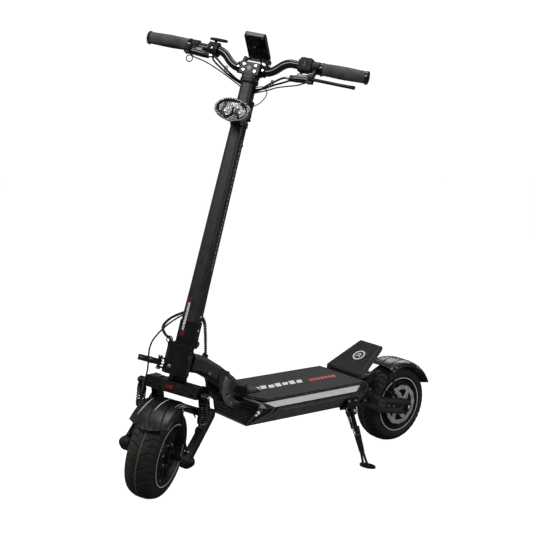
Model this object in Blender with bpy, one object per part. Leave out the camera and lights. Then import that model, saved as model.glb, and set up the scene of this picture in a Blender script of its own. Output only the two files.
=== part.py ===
"""Electric kick scooter, parked on its side stand with the front wheel turned to the rider's left.

Metres, +Z up. The rider faces -Y and the rider's left is +X. The floor is z = 0 and the
origin lies on it, under the middle of the scooter's overall box.
"""
import math

import bmesh
import bpy
from mathutils import Matrix, Vector

# ---------------------------------------------------------------- driving dimensions
GAP = 0.0003                  # air between touching pieces
WHEELBASE = 0.925
RAKE = math.radians(13.5)     # steering axis from upright
LEAN = math.radians(5.0)      # whole scooter, towards the side stand
STEER = math.radians(32.0)    # front wheel, towards the rider's left
TRAIL_SETBACK = 0.028         # steering axis behind the front axle's upright, at axle height

TYRE_RADIUS = 0.127
TYRE_HALF_WIDTH = 0.041
RIM_RADIUS = 0.0855
ROUND = 36                    # steps round a wheel
SMALL_ROUND = 14              # steps round a small pin or tube

DECK_TOP = 0.2495
DECK_WIDE_Z = 0.226
DECK_FLOOR = 0.171
DECK_HALF_TOP = 0.106
DECK_HALF_WIDE = 0.110
DECK_HALF_FLOOR = 0.073
DECK_FRONT = -0.200
DECK_REAR = 0.240
WALL = 0.004
LID_TOP = 0.2465

AXLE_FRONT = (0.0, -0.0272, -0.0065)      # in the steering frame
AXLE_REAR = (0.0, WHEELBASE / 2, TYRE_RADIUS)
FRONT_PIVOT = (0.0, 0.085, 0.110)         # front arm's pivot, steering frame
REAR_PIVOT = (0.0, 0.275, 0.185)
SHOCK_FRONT = (0.0, 0.268, 0.224)         # rear damper's two eyes
SHOCK_REAR = (0.0, 0.354, 0.234)

HEAD_LOW = 0.205
HEAD_HIGH = 0.275
BASE_LOW = HEAD_HIGH + 0.0096             # underside of the folding base
FOLD_HEIGHT = 0.295
FOLD_BACK = 0.034                         # fold axis behind the steering axis
KNUCKLE_TOP = 0.3555
STEM_TOP = 1.030
BAR_HEIGHT = 1.056
BAR_RISE = 0.035
BAR_RADIUS = 0.0115
BAR_HALF = 0.3135
HOOK_AT = (0.0, 0.037, 0.9235)            # hook's pin behind the stem
LEVER_AT = (-0.0445, -0.050, 0.232)       # fold lever's pin beside the apron
APRON_LOW = 0.210

STAND_PIVOT = (0.098, 0.190, 0.158)
STAND_FOOT = (0.178, 0.183)               # on the floor, from the point under the wheelbase's middle
CENTRING = (-0.1036, -0.0147)             # puts the origin under the middle of the overall box

AXES = {"x": (1, 2, 0), "y": (0, 2, 1), "z": (0, 1, 2)}


# ---------------------------------------------------------------- scene and placing
def clear_scene():
    for item in list(bpy.data.objects):
        bpy.data.objects.remove(item, do_unlink=True)


def paint(name, colour, roughness, metallic=0.0):
    made = bpy.data.materials.new(name)
    made.use_nodes = True
    shader = made.node_tree.nodes["Principled BSDF"]
    shader.inputs["Base Color"].default_value = (*colour, 1.0)
    shader.inputs["Roughness"].default_value = roughness
    shader.inputs["Metallic"].default_value = metallic
    made.diffuse_color = (*colour, 1.0)
    return made


def frame(name, parent=None, place=(0, 0, 0), turn=(0, 0, 0)):
    """An empty that other things hang on."""
    made = bpy.data.objects.new(name, None)
    bpy.context.scene.collection.objects.link(made)
    made.parent = parent
    made.location = place
    made.rotation_euler = turn
    return made


def node(name, shape, parent, material, place=(0, 0, 0), smooth=32):
    """One named piece from a bmesh that is drawn in its parent's frame.

    place is the piece's own origin, such as a point on its joint's axis.
    """
    bmesh.ops.translate(shape, verts=shape.verts, vec=-Vector(place))
    bmesh.ops.recalc_face_normals(shape, faces=shape.faces)
    mesh = bpy.data.meshes.new(name)
    shape.to_mesh(mesh)
    shape.free()
    mesh.shade_smooth()
    mesh.set_sharp_from_angle(angle=math.radians(smooth))
    made = bpy.data.objects.new(name, mesh)
    bpy.context.scene.collection.objects.link(made)
    made.parent = parent
    made.location = place
    made.data.materials.append(material)
    return made


def tool(piece, operation, shape, parent):
    """A hidden shape that is joined to a piece or cut from it."""
    count = len(piece.modifiers)
    helper = node(f"{piece.name}_tool_{count}", shape, parent, piece.data.materials[0])
    helper.hide_render = True
    helper.display_type = "WIRE"
    step = piece.modifiers.new(f"{operation.lower()}_{count}", "BOOLEAN")
    step.operation = operation
    step.solver = "EXACT"
    step.object = helper


def unite(piece, parent, *shapes):
    for shape in shapes:
        tool(piece, "UNION", shape, parent)


def cut(piece, parent, *shapes):
    for shape in shapes:
        tool(piece, "DIFFERENCE", shape, parent)


# ---------------------------------------------------------------- shapes
def skin(rings, closed=False):
    """Quads between rings of equal length, then end caps, or last ring to first."""
    shape = bmesh.new()
    rows = [[shape.verts.new(point) for point in ring] for ring in rings]
    count = len(rows[0])
    following = rows[1:] + rows[:1] if closed else rows[1:]
    for one, two in zip(rows, following):
        for i in range(count):
            j = (i + 1) % count
            shape.faces.new((one[i], one[j], two[j], two[i]))
    if not closed:
        shape.faces.new(rows[0][::-1])
        shape.faces.new(rows[-1])
    return shape


def spot(axis, u, v, along):
    first, second, third = AXES[axis]
    point = [0.0, 0.0, 0.0]
    point[first] = u
    point[second] = v
    point[third] = along
    return point


def prism(outline, axis, low, high):
    """A flat outline pushed along an axis."""
    return skin([[spot(axis, u, v, level) for u, v in outline] for level in (low, high)])


def box(low, high):
    outline = ((low[0], low[1]), (high[0], low[1]), (high[0], high[1]), (low[0], high[1]))
    return prism(outline, "z", low[2], high[2])


def turned(profile, axis, centre=(0, 0, 0), steps=SMALL_ROUND):
    """A solid round piece: (along, radius) pairs from one end to the other."""
    rings = []
    for along, radius in profile:
        ring = []
        for i in range(steps):
            angle = math.tau * i / steps
            at = spot(axis, radius * math.cos(angle), radius * math.sin(angle), along)
            ring.append(Vector(at) + Vector(centre))
        rings.append(ring)
    return skin(rings)


def hoop(profile, axis, centre=(0, 0, 0), steps=SMALL_ROUND):
    """A round piece with an open middle: a closed loop of (along, radius) pairs."""
    rings = []
    for i in range(steps):
        angle = math.tau * (i + 0.5) / steps
        ring = []
        for along, radius in profile:
            at = spot(axis, radius * math.cos(angle), radius * math.sin(angle), along)
            ring.append(Vector(at) + Vector(centre))
        rings.append(ring)
    return skin(rings, closed=True)


def tube(low, high, inner, outer):
    return ((low, outer), (high, outer), (high, inner), (low, inner))


def rod(start, end, radius, steps=SMALL_ROUND, end_radius=None):
    """A round bar between two points."""
    start, end = Vector(start), Vector(end)
    way = (end - start).normalized()
    side = way.orthogonal().normalized()
    other = way.cross(side)
    rings = []
    for centre, size in ((start, radius), (end, end_radius or radius)):
        ring = []
        for i in range(steps):
            angle = math.tau * i / steps
            ring.append(centre + side * math.cos(angle) * size + other * math.sin(angle) * size)
        rings.append(ring)
    return skin(rings)


def link(first, first_radius, second, second_radius, steps=7):
    """Outline of a plate that runs from one round boss to another."""
    way = math.atan2(second[1] - first[1], second[0] - first[0])
    apart = math.hypot(second[0] - first[0], second[1] - first[1])
    tilt = math.acos((first_radius - second_radius) / apart)
    outline = []
    for i in range(steps + 1):
        angle = way + tilt + (math.tau - 2 * tilt) * i / steps
        outline.append((first[0] + first_radius * math.cos(angle),
                        first[1] + first_radius * math.sin(angle)))
    for i in range(steps + 1):
        angle = way - tilt + 2 * tilt * i / steps
        outline.append((second[0] + second_radius * math.cos(angle),
                        second[1] + second_radius * math.sin(angle)))
    return outline


def rounded(half_u, half_v, radius, centre=(0, 0), steps=3):
    """Outline of a rectangle with round corners."""
    outline = []
    corners = ((1, 1, 0), (-1, 1, 90), (-1, -1, 180), (1, -1, 270))
    for sign_u, sign_v, start in corners:
        for i in range(steps + 1):
            angle = math.radians(start + 90 * i / steps)
            outline.append((centre[0] + sign_u * (half_u - radius) + radius * math.cos(angle),
                            centre[1] + sign_v * (half_v - radius) + radius * math.sin(angle)))
    return outline


def smooth_path(points, spacing):
    """Points along a Catmull-Rom curve through the given ones."""
    ends = [Vector(p) for p in points]
    ends = [ends[0] * 2 - ends[1]] + ends + [ends[-1] * 2 - ends[-2]]
    path = [ends[1]]
    for a, b, c, d in zip(ends, ends[1:], ends[2:], ends[3:]):
        steps = max(1, round((c - b).length / spacing))
        for i in range(1, steps + 1):
            t = i / steps
            path.append(0.5 * (2 * b + (c - a) * t + (2 * a - 5 * b + 4 * c - d) * t ** 2
                               + (3 * b - a - 3 * c + d) * t ** 3))
    return path


def hose(name, points, radius, parent, material, spacing=2.6):
    """A round hose or cable with filled ends, along a smooth route."""
    curve = bpy.data.curves.new(name, "CURVE")
    curve.dimensions = "3D"
    curve.bevel_depth = radius
    curve.bevel_resolution = 2
    curve.use_fill_caps = True
    path = smooth_path(points, 2 * radius * spacing)
    line = curve.splines.new("POLY")
    line.points.add(len(path) - 1)
    for knot, at in zip(line.points, path):
        knot.co = (*at, 1.0)
    made = bpy.data.objects.new(name, curve)
    bpy.context.scene.collection.objects.link(made)
    made.parent = parent
    curve.materials.append(material)
    return made


# ---------------------------------------------------------------- where the scooter stands
def tyre_outside():
    """(along, radius) pairs over a tyre's outside, bead to bead."""
    half = [(0.0370, 0.0880), (0.0410, 0.1000), (0.0380, 0.1125), (0.0295, 0.1205), (0.0160, 0.1258)]
    return [(-a, r) for a, r in half] + [(0.0, TYRE_RADIUS)] + [(a, r) for a, r in half[::-1]]


def lowest(turn, centre, axle):
    """How low a tyre reaches when the scooter is turned about the origin."""
    middle = turn @ Vector(centre)
    spin = (turn @ Vector(axle)).normalized()
    level = math.sqrt(1.0 - spin.z ** 2)
    return min(middle.z + along * spin.z - radius * level for along, radius in tyre_outside())


def steering_frame():
    head = (0.0, TRAIL_SETBACK - WHEELBASE / 2, TYRE_RADIUS)
    return Matrix.Translation(head) @ Matrix.Rotation(-RAKE, 4, "X")


def settle():
    """Pitch and lift that put both leaning tyres on the floor."""
    turned_front = steering_frame() @ Matrix.Rotation(STEER, 4, "Z")
    front = turned_front @ Vector(AXLE_FRONT)
    front_axle = turned_front.to_3x3() @ Vector((1, 0, 0))
    pitch = 0.0
    for _ in range(20):
        turn = Matrix.Rotation(LEAN, 3, "Y") @ Matrix.Rotation(pitch, 3, "X")
        ahead = lowest(turn, front, front_axle)
        behind = lowest(turn, AXLE_REAR, (1, 0, 0))
        pitch += (ahead - behind) / WHEELBASE
    return pitch, -behind


# ---------------------------------------------------------------- deck and neck
def deck(root, look):
    side = ((DECK_HALF_FLOOR, DECK_FLOOR), (DECK_HALF_WIDE, DECK_WIDE_Z),
            (DECK_HALF_TOP, LID_TOP - 0.0033))
    outline = list(side) + [(-x, z) for x, z in side[::-1]]
    lean_back = 0.25                      # the front face leans back by this slope
    rings = []
    for y, slope in ((DECK_FRONT, lean_back), (DECK_REAR, 0.0)):
        rings.append([(x, y + slope * (z - DECK_FLOOR), z) for x, z in outline])
    shell = node("deck_shell", skin(rings), root, look["black_alloy"])
    inner = [(DECK_HALF_FLOOR - 0.004, DECK_FLOOR + WALL), (DECK_HALF_WIDE - 0.0055, DECK_WIDE_Z),
             (DECK_HALF_TOP - 0.005, DECK_TOP + 0.01)]
    inner = inner + [(-x, z) for x, z in inner[::-1]]
    cut(shell, root, prism(inner, "y", DECK_FRONT + 0.026, DECK_REAR - WALL))

    low = LID_TOP - 0.003
    lid = [(DECK_HALF_TOP, DECK_FRONT + 0.045), (DECK_HALF_TOP, DECK_REAR),
           (-DECK_HALF_TOP, DECK_REAR), (-DECK_HALF_TOP, DECK_FRONT + 0.045)]
    nose = [(0.5 * DECK_HALF_TOP, DECK_FRONT + 0.0195), (-0.5 * DECK_HALF_TOP, DECK_FRONT + 0.0195)]
    node("deck_lid", prism(lid + nose[::-1], "z", low, LID_TOP), root, look["black_alloy"])

    inset = 0.006
    mat = [(DECK_HALF_TOP - inset, DECK_FRONT + 0.050), (DECK_HALF_TOP - inset, DECK_REAR - inset),
           (-DECK_HALF_TOP + inset, DECK_REAR - inset), (-DECK_HALF_TOP + inset, DECK_FRONT + 0.050)]
    nose = [(-0.050, DECK_FRONT + 0.028), (0.050, DECK_FRONT + 0.028)]
    mat_piece = node("deck_mat", prism(mat + nose, "z", LID_TOP + GAP, DECK_TOP), root,
                     look["grip_tape"])
    cut(mat_piece, root, box((-0.034, DECK_FRONT, DECK_TOP - 0.01), (0.034, -0.118, DECK_TOP + 0.01)))

    node("battery_pack", box((-0.064, -0.165, 0.1755), (0.064, 0.105, 0.232)), root,
         look["battery_wrap"])
    node("motor_controller", box((-0.060, 0.112, 0.1755), (0.060, 0.225, 0.222)), root,
         look["raw_alloy"])
    for name, sign in (("left", 1), ("right", -1)):
        led_panel(root, look, name, sign)


def led_panel(root, look, name, sign):
    """Light strip on the upper side facet, a leaning box with slanted ends."""
    low = Vector((DECK_HALF_WIDE, 0, DECK_WIDE_Z))
    high = Vector((DECK_HALF_TOP, 0, LID_TOP - 0.0033))
    up = (high - low).normalized()
    out = Vector((up.z, 0, -up.x))
    start = low + up * 0.0006 + out * GAP
    end = high - up * 0.0006 + out * GAP
    thick = 0.0018
    rings = []
    for lift, front, rear in ((0.0, -0.130, 0.190), (thick, -0.129, 0.189)):
        ring = []
        for base, y in ((start, front), (start, rear), (end, rear + 0.017), (end, front - 0.035)):
            at = base + out * lift
            ring.append((sign * at.x, y, at.z))
        rings.append(ring)
    node(f"led_panel_{name}", skin(rings), root, look["light_panel"])


def neck(root, straight, look):
    """Cast beam from the head tube down to the front of the deck."""
    steer = steering_frame()
    spine = ((-0.352, 0.358, 0.020, 0.026), (-0.318, 0.348, 0.025, 0.025),
             (-0.272, 0.320, 0.0285, 0.024), (-0.226, 0.286, 0.030, 0.023),
             (-0.186, 0.262, 0.031, 0.0145), (-0.150, 0.2525, 0.031, 0.0055),
             (-0.126, 0.2505, 0.029, 0.0035))
    low = LID_TOP + GAP
    rings = []
    for i, (y, z, half_x, half_t) in enumerate(spine):
        before = spine[max(i - 1, 0)]
        after = spine[min(i + 1, len(spine) - 1)]
        way = Vector((0, after[0] - before[0], after[1] - before[1])).normalized()
        up = Vector((0, -way.z, way.y))
        bevel = min(0.010, half_t * 0.6)
        section = ((half_x - bevel, -half_t), (half_x, -half_t + bevel), (half_x, half_t - bevel),
                   (half_x - bevel, half_t))
        section = section + tuple((-x, t) for x, t in section[::-1])
        ring = []
        for x, t in section:
            at = Vector((x, y, z)) + up * t
            if y > -0.21:
                at.z = max(at.z, low)
            ring.append(at)
        rings.append(ring)
    beam = node("neck", skin(rings), root, look["cast_olive"])
    axis = steer.to_3x3() @ Vector((0, 0, 1))
    head = steer.to_translation()
    unite(beam, root, rod(head + axis * HEAD_LOW, head + axis * HEAD_HIGH, 0.0265, 24))
    brackets = []
    for sign in (1, -1):
        brackets.append(prism(crescent(), "x", min(sign * 0.026, sign * 0.036),
                              max(sign * 0.026, sign * 0.036)))
    unite(beam, root, *brackets)
    cut(beam, root, rod(head + axis * (HEAD_LOW - 0.02), head + axis * (HEAD_HIGH + 0.02), 0.0185, 20))

    for name, low_z in (("lower", HEAD_LOW - 0.0093), ("upper", HEAD_HIGH + GAP)):
        node(f"headset_bearing_{name}", hoop(tube(low_z, low_z + 0.009, 0.0153, 0.0255), "z"),
             straight, look["steel"])


def crescent():
    """Side view of the gusset under the neck: an arc outside, a tighter arc inside."""
    outline = []
    for i in range(8):
        angle = math.radians(150 + 95 * i / 7)
        outline.append((-0.196 + 0.076 * math.cos(angle), 0.302 + 0.066 * math.sin(angle)))
    for i in range(8):
        angle = math.radians(238 - 80 * i / 7)
        outline.append((-0.180 + 0.062 * math.cos(angle), 0.305 + 0.052 * math.sin(angle)))
    return outline


# ---------------------------------------------------------------- wheels
def wheel(hub, look, side, name):
    """Tyre, hub motor with its rim and brake disc, about the x axis of the hub's frame."""
    outer = tyre_outside()
    inner = [(0.0325, 0.0880), (0.0340, 0.1020), (0.0220, 0.1150), (0.0, 0.1185)]
    inner = inner + [(-a, r) for a, r in inner[-2::-1]]
    node(f"{name}_tyre", hoop(outer + inner, "x", steps=ROUND), hub, look["tyre_rubber"])
    half = [(0.0375, RIM_RADIUS + 0.002), (0.0325, RIM_RADIUS + 0.002)]
    rim = [(-a, r) for a, r in half] + [(a, r) for a, r in half[::-1]]
    face = [(0.0350, 0.0770), (0.0250, 0.0730), (0.0250, 0.0420), (0.0320, 0.0350),
            (0.0330, 0.0225), (0.0445, 0.0205), (0.0445, 0.0088)]
    profile = rim + face + [(-a, r) for a, r in face[::-1]]
    node(f"{name}_hub_motor", hoop(profile, "x", steps=ROUND), hub, look["hub_black"])
    low = min(side * 0.0448, side * 0.0466)
    high = max(side * 0.0448, side * 0.0466)
    node(f"{name}_brake_disc", hoop(tube(low, high, 0.0100, 0.0640), "x", steps=32), hub,
         look["disc_steel"])


def axle(parent, look, name, centre, half, nut_from, nut_radius):
    profile = [(-half, nut_radius - 0.003), (-half + 0.003, nut_radius), (-nut_from, nut_radius),
               (-nut_from, 0.0070)]
    profile = profile + [(-a, r) for a, r in profile[::-1]]
    node(name, turned(profile, "x", centre), parent, look["black_steel"], centre)


def caliper(parent, look, name, centre, side):
    """Block that straddles the brake disc."""
    outline = rounded(0.018, 0.024, 0.006, (centre[1], centre[2]))
    low = min(side * 0.0415, side * 0.0525)
    high = max(side * 0.0415, side * 0.0525)
    piece = node(name, prism(outline, "x", low, high), parent, look["black_alloy"])
    slot_low = min(side * 0.0438, side * 0.0476)
    slot_high = max(side * 0.0438, side * 0.0476)
    return piece, slot_low, slot_high


def fender(parent, look, name, centre, arc, forward, half, stays):
    """Curved guard round the tyre. arc is from its tip to its back end, in degrees.

    forward is -1 where the tip points to -Y, and +1 where it points to +Y.
    """
    section = []
    for i in range(9):
        share = -1 + 2 * i / 8
        section.append((half * math.sin(share * 1.35) / math.sin(1.35),
                        0.1465 - 0.0145 * abs(share) ** 3))
    rings = []
    steps = 10
    for j in range(steps + 1):
        ring = []
        for thick in (0.0, -0.003):
            order = section if thick == 0.0 else section[::-1]
            for x, radius in order:
                x_at = x * (1 + thick * 12 if thick else 1)
                lip = 9.0 * (x / half) ** 2 * (1 - j / steps)
                angle = math.radians(arc[0] + lip + (arc[1] - arc[0] - lip) * j / steps)
                reach = radius + thick
                ring.append((centre[0] + x_at, centre[1] + forward * reach * math.cos(angle),
                             centre[2] + reach * math.sin(angle)))
        rings.append(ring)
    piece = node(name, skin(rings), parent, look["satin_black"])
    for sign in (1, -1):
        for start, end, radius in stays:
            flipped = [(sign * start[0], start[1], start[2]), (sign * end[0], end[1], end[2])]
            unite(piece, parent, rod(*flipped, radius, 8))
    return piece


# ---------------------------------------------------------------- front end
def fork(steering, look):
    """Steerer, crown and the two legs that carry the arm's pivot."""
    piece = node("fork", turned(((0.164, 0.024), (0.193, 0.024), (0.1955, 0.0148), (0.2845, 0.0148)),
                                "z", steps=20), steering, look["black_alloy"])
    crown = [(-0.040, 0.158), (0.030, 0.158), (0.060, 0.150), (0.066, 0.166), (0.036, 0.188),
             (-0.030, 0.188)]
    unite(piece, steering, prism([(y, z) for y, z in crown], "x", -0.0780, 0.0780))
    for sign in (1, -1):
        leg = link((0.030, 0.171), 0.020, (FRONT_PIVOT[1], FRONT_PIVOT[2]), 0.021)
        unite(piece, steering, prism(leg, "x", min(sign * 0.0640, sign * 0.0785),
                                     max(sign * 0.0640, sign * 0.0785)))
        unite(piece, steering, rod((sign * 0.070, -0.016, 0.168), (sign * 0.1055, -0.016, 0.168),
                                   0.0052, 10))
    cut(piece, steering, rod((-0.12, FRONT_PIVOT[1], FRONT_PIVOT[2]),
                             (0.12, FRONT_PIVOT[1], FRONT_PIVOT[2]), 0.0117, 18))
    return piece


def front_arm(arm, look):
    """Two leading plates joined by the tube that turns in the fork's legs."""
    tube_piece = rod((-0.0800, FRONT_PIVOT[1], FRONT_PIVOT[2]),
                     (0.0800, FRONT_PIVOT[1], FRONT_PIVOT[2]), 0.0110, 18)
    piece = node("front_swing_arm", tube_piece, arm, look["cast_grey"], FRONT_PIVOT)
    for sign in (1, -1):
        low = min(sign * 0.0790, sign * 0.0945)
        high = max(sign * 0.0790, sign * 0.0945)
        plate = link((FRONT_PIVOT[1], FRONT_PIVOT[2]), 0.019, (AXLE_FRONT[1], AXLE_FRONT[2]), 0.021)
        unite(piece, arm, prism(plate, "x", low, high))
        lug = link((0.040, 0.066), 0.016, (0.018, 0.072), 0.0085)
        unite(piece, arm, prism(lug, "x", low, high))
    cut(piece, arm, rod((-0.12, AXLE_FRONT[1], AXLE_FRONT[2]), (0.12, AXLE_FRONT[1], AXLE_FRONT[2]),
                        0.0074, 12))
    axle(arm, look, "front_axle", AXLE_FRONT, 0.1080, 0.0948, 0.0140)
    stays = (((0.0555, -0.062, 0.1241), (0.0720, -0.050, 0.060), 0.0042),
             ((0.0720, -0.050, 0.060), (0.0850, -0.0350, 0.0190), 0.0042))
    fender(arm, look, "front_fender", AXLE_FRONT, (30, 128), -1, 0.0585, stays)
    piece, low, high = caliper(arm, look, "front_caliper", (0, 0.030, 0.022), -1)
    cut(piece, arm, prism(rounded(0.070, 0.064, 0.010, (AXLE_FRONT[1], AXLE_FRONT[2] + 0.001)), "x",
                          low, high))


def front_shock(steering, look, name, sign):
    """Coil-over damper from the fork's pin to the arm's lug."""
    top = Vector((sign * 0.0925, -0.016, 0.168))
    foot = Vector((sign * 0.0925, 0.0150, 0.0815))
    body = rod(top.lerp(foot, 0.09), foot, 0.0140, 14)
    piece = node(f"front_shock_{name}", body, steering, look["spring_black"], top)
    unite(piece, steering, turned(((-0.0085, 0.0110), (0.0085, 0.0110)), "x", top))
    cut(piece, steering, turned(((-0.05, 0.0056), (0.05, 0.0056)), "x", top))


def fold_base(steering, look):
    """Steered block on top of the headset, with an apron in front of the head tube."""
    base = node("fold_base", prism(rounded(0.0270, 0.0290, 0.010), "z", BASE_LOW, FOLD_HEIGHT - GAP),
                steering, look["satin_black"])
    apron = [(-0.030, -0.0305), (-0.034, -0.045), (-0.020, -0.062), (0.018, -0.062),
             (0.032, -0.045), (0.030, -0.0305)]
    unite(base, steering, prism(apron, "z", APRON_LOW, FOLD_HEIGHT - 0.004))
    unite(base, steering, box((-0.026, -0.050, BASE_LOW + 0.0005), (0.026, -0.020, FOLD_HEIGHT - 0.0006)))
    room = link((0.018, FOLD_HEIGHT + 0.020), 0.0090, (FOLD_BACK, FOLD_HEIGHT), 0.0098)
    cut(base, steering, prism(room, "x", -0.0140, 0.0140))
    for sign in (1, -1):
        ear = link((0.012, BASE_LOW + 0.006), 0.0055, (FOLD_BACK, FOLD_HEIGHT), 0.0090)
        unite(base, steering, prism(ear, "x", min(sign * 0.0140, sign * 0.0215),
                                    max(sign * 0.0140, sign * 0.0215)))
    unite(base, steering, rod((-0.0225, FOLD_BACK, FOLD_HEIGHT), (0.0225, FOLD_BACK, FOLD_HEIGHT),
                              0.0042, 12))
    x, y, z = LEVER_AT
    unite(base, steering, rod((x, y, z - 0.012), (x, y, z + 0.012), 0.0040, 10))
    for low in (z - 0.0145, z + 0.0100):
        unite(base, steering, box((x - 0.0035, y - 0.006, low), (x + 0.0165, y + 0.006, low + 0.0040)))

    grip = prism(link((x, y), 0.0075, (x - 0.0535, y - 0.010), 0.0050), "z", z - 0.0075, z + 0.0075)
    lever = node("fold_lever", grip, steering, look["black_steel"], LEVER_AT)
    cut(lever, steering, rod((x, y, z - 0.020), (x, y, z + 0.020), 0.0044, 12))


# ---------------------------------------------------------------- stem and cockpit
def stem(column, look):
    knuckle = node("stem_knuckle", prism(rounded(0.0250, 0.0270, 0.009), "z", FOLD_HEIGHT + GAP,
                                         KNUCKLE_TOP), column, look["satin_black"],
                   (0, FOLD_BACK, FOLD_HEIGHT))
    hinge = link((0.018, FOLD_HEIGHT + 0.020), 0.0080, (FOLD_BACK, FOLD_HEIGHT), 0.0088)
    unite(knuckle, column, prism(hinge, "x", -0.0136, 0.0136))
    cut(knuckle, column, rod((-0.03, FOLD_BACK, FOLD_HEIGHT), (0.03, FOLD_BACK, FOLD_HEIGHT), 0.0045, 12))
    for sign in (1, -1):
        low = min(sign * 0.0137, sign * 0.0300)
        high = max(sign * 0.0137, sign * 0.0300)
        cut(knuckle, column, prism(link((0.012, BASE_LOW + 0.006), 0.0100, (FOLD_BACK, FOLD_HEIGHT),
                                        0.0096), "x", low, high))

    rings = []
    for z, half_x, half_y in ((KNUCKLE_TOP + GAP, 0.0230, 0.0250), (0.45, 0.0215, 0.0235),
                              (0.80, 0.0195, 0.0205), (STEM_TOP, 0.0180, 0.0190)):
        rings.append([(x, y, z) for x, y in rounded(half_x, half_y, 0.009)])
    tube_piece = node("stem_tube", skin(rings), column, look["satin_black"])
    unite(tube_piece, column, prism(rounded(0.0200, 0.0225, 0.009), "z", STEM_TOP - 0.008, 1.0395))
    unite(tube_piece, column, box((-0.014, 0.0150, 0.930), (0.014, 0.0420, 0.975)))
    unite(tube_piece, column, rod((-0.014, HOOK_AT[1], HOOK_AT[2]), (0.014, HOOK_AT[1], HOOK_AT[2]),
                                  0.0022, 8))
    for sign in (1, -1):
        unite(tube_piece, column, box((sign * 0.012 - 0.0025, 0.0340, 0.920),
                                      (sign * 0.012 + 0.0025, 0.0400, 0.932)))
    cut(tube_piece, column, prism(rounded(0.0145, 0.0155, 0.006), "z", 0.30, 1.10))

    clamp = node("bar_clamp", prism(rounded(0.0165, 0.0165, 0.004, (-0.002, 1.0560)), "x",
                                    -0.0275, 0.0275), column, look["raw_alloy"])
    unite(clamp, column, prism(rounded(0.0275, 0.0160, 0.003, (0, 1.0555)), "y", -0.0240, -0.0170))
    cut(clamp, column, turned(((-0.05, BAR_RADIUS + GAP), (0.05, BAR_RADIUS + GAP)), "x",
                              (0, 0, BAR_HEIGHT), 20))


def bar_line(sign):
    """Half of the handlebar's centre line, from the middle outwards."""
    return [(0, 0, BAR_HEIGHT), (sign * 0.041, 0, BAR_HEIGHT), (sign * 0.047, 0, BAR_HEIGHT),
            (sign * 0.064, 0, BAR_HEIGHT + 0.009),
            (sign * 0.086, 0, BAR_HEIGHT + 0.028), (sign * 0.104, 0, BAR_HEIGHT + BAR_RISE),
            (sign * 0.110, 0, BAR_HEIGHT + BAR_RISE), (sign * 0.200, 0, BAR_HEIGHT + BAR_RISE),
            (sign * BAR_HALF, 0, BAR_HEIGHT + BAR_RISE)]


def handlebar(column, look):
    points = bar_line(-1)[::-1] + bar_line(1)[1:]
    curve = hose("handlebar", points, BAR_RADIUS, column, look["gloss_black"], 0.75)
    curve.data.bevel_resolution = 4
    height = BAR_HEIGHT + BAR_RISE
    for name, sign in (("left", 1), ("right", -1)):
        profile = ((0.1880, 0.0180), (0.1950, 0.0180), (0.1965, 0.0162), (0.2350, 0.0172),
                   (0.2700, 0.0166), (0.3080, 0.0178), (0.3170, 0.0178), (0.3200, 0.0150))
        inner = ((0.3160, 0.0), (0.3160, BAR_RADIUS + GAP), (0.1880, BAR_RADIUS + GAP))
        grip = node(f"grip_{name}", turned([(sign * a, r) for a, r in profile], "x",
                                           (0, 0, height), 18), column, look["grip_rubber"])
        cut(grip, column, turned([(sign * 0.15, BAR_RADIUS + GAP), (sign * 0.3160, BAR_RADIUS + GAP)],
                                 "x", (0, 0, height), 18))


def brake_control(column, look, name, sign, drop):
    """Master cylinder on the bar and its blade. drop tilts the blade downwards."""
    height = BAR_HEIGHT + BAR_RISE
    centre = (0, 0, height)
    low, high = min(sign * 0.166, sign * 0.184), max(sign * 0.166, sign * 0.184)
    piece = node(f"brake_perch_{name}", turned(((low, 0.0170), (high, 0.0170)), "x", centre, 16),
                 column, look["black_alloy"])
    body_z = height - drop
    unite(piece, column, rod((sign * 0.120, -0.0300, body_z - 0.004), (sign * 0.184, -0.0330, body_z),
                             0.0088, 12))
    unite(piece, column, rod((sign * 0.175, 0.0, height), (sign * 0.175, -0.031, body_z), 0.0080, 10))
    unite(piece, column, box((sign * 0.178 - 0.0075, -0.052, body_z - 0.0105),
                             (sign * 0.178 + 0.0075, -0.030, body_z + 0.0105)))
    cut(piece, column, box((sign * 0.178 - 0.012, -0.060, body_z - 0.0052),
                           (sign * 0.178 + 0.012, -0.0375, body_z + 0.0052)))
    unite(piece, column, rod((sign * 0.178, -0.046, body_z - 0.014), (sign * 0.178, -0.046, body_z + 0.014),
                             0.0028, 10))
    cut(piece, column, turned(((-0.3, BAR_RADIUS + GAP), (0.3, BAR_RADIUS + GAP)), "x", centre, 16))

    way = ((0.178, -0.046), (0.196, -0.049), (0.225, -0.047), (0.262, -0.043), (0.296, -0.043))
    rings = []
    for i, (x, y) in enumerate(way):
        half = (0.0055, 0.0050, 0.0042, 0.0042, 0.0048)[i]
        rings.append([(sign * x, y - half, body_z - 0.0045), (sign * x, y + half, body_z - 0.0045),
                      (sign * x, y + half, body_z + 0.0045), (sign * x, y - half, body_z + 0.0045)])
    blade = node(f"brake_lever_{name}", skin(rings), column, look["black_alloy"],
                 (sign * 0.178, -0.046, body_z))
    unite(blade, column, rod((sign * 0.178, -0.046, body_z - 0.0046), (sign * 0.178, -0.046, body_z + 0.0046),
                             0.0065, 12))
    cut(blade, column, rod((sign * 0.178, -0.046, body_z - 0.02), (sign * 0.178, -0.046, body_z + 0.02),
                           0.0031, 10))


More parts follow.
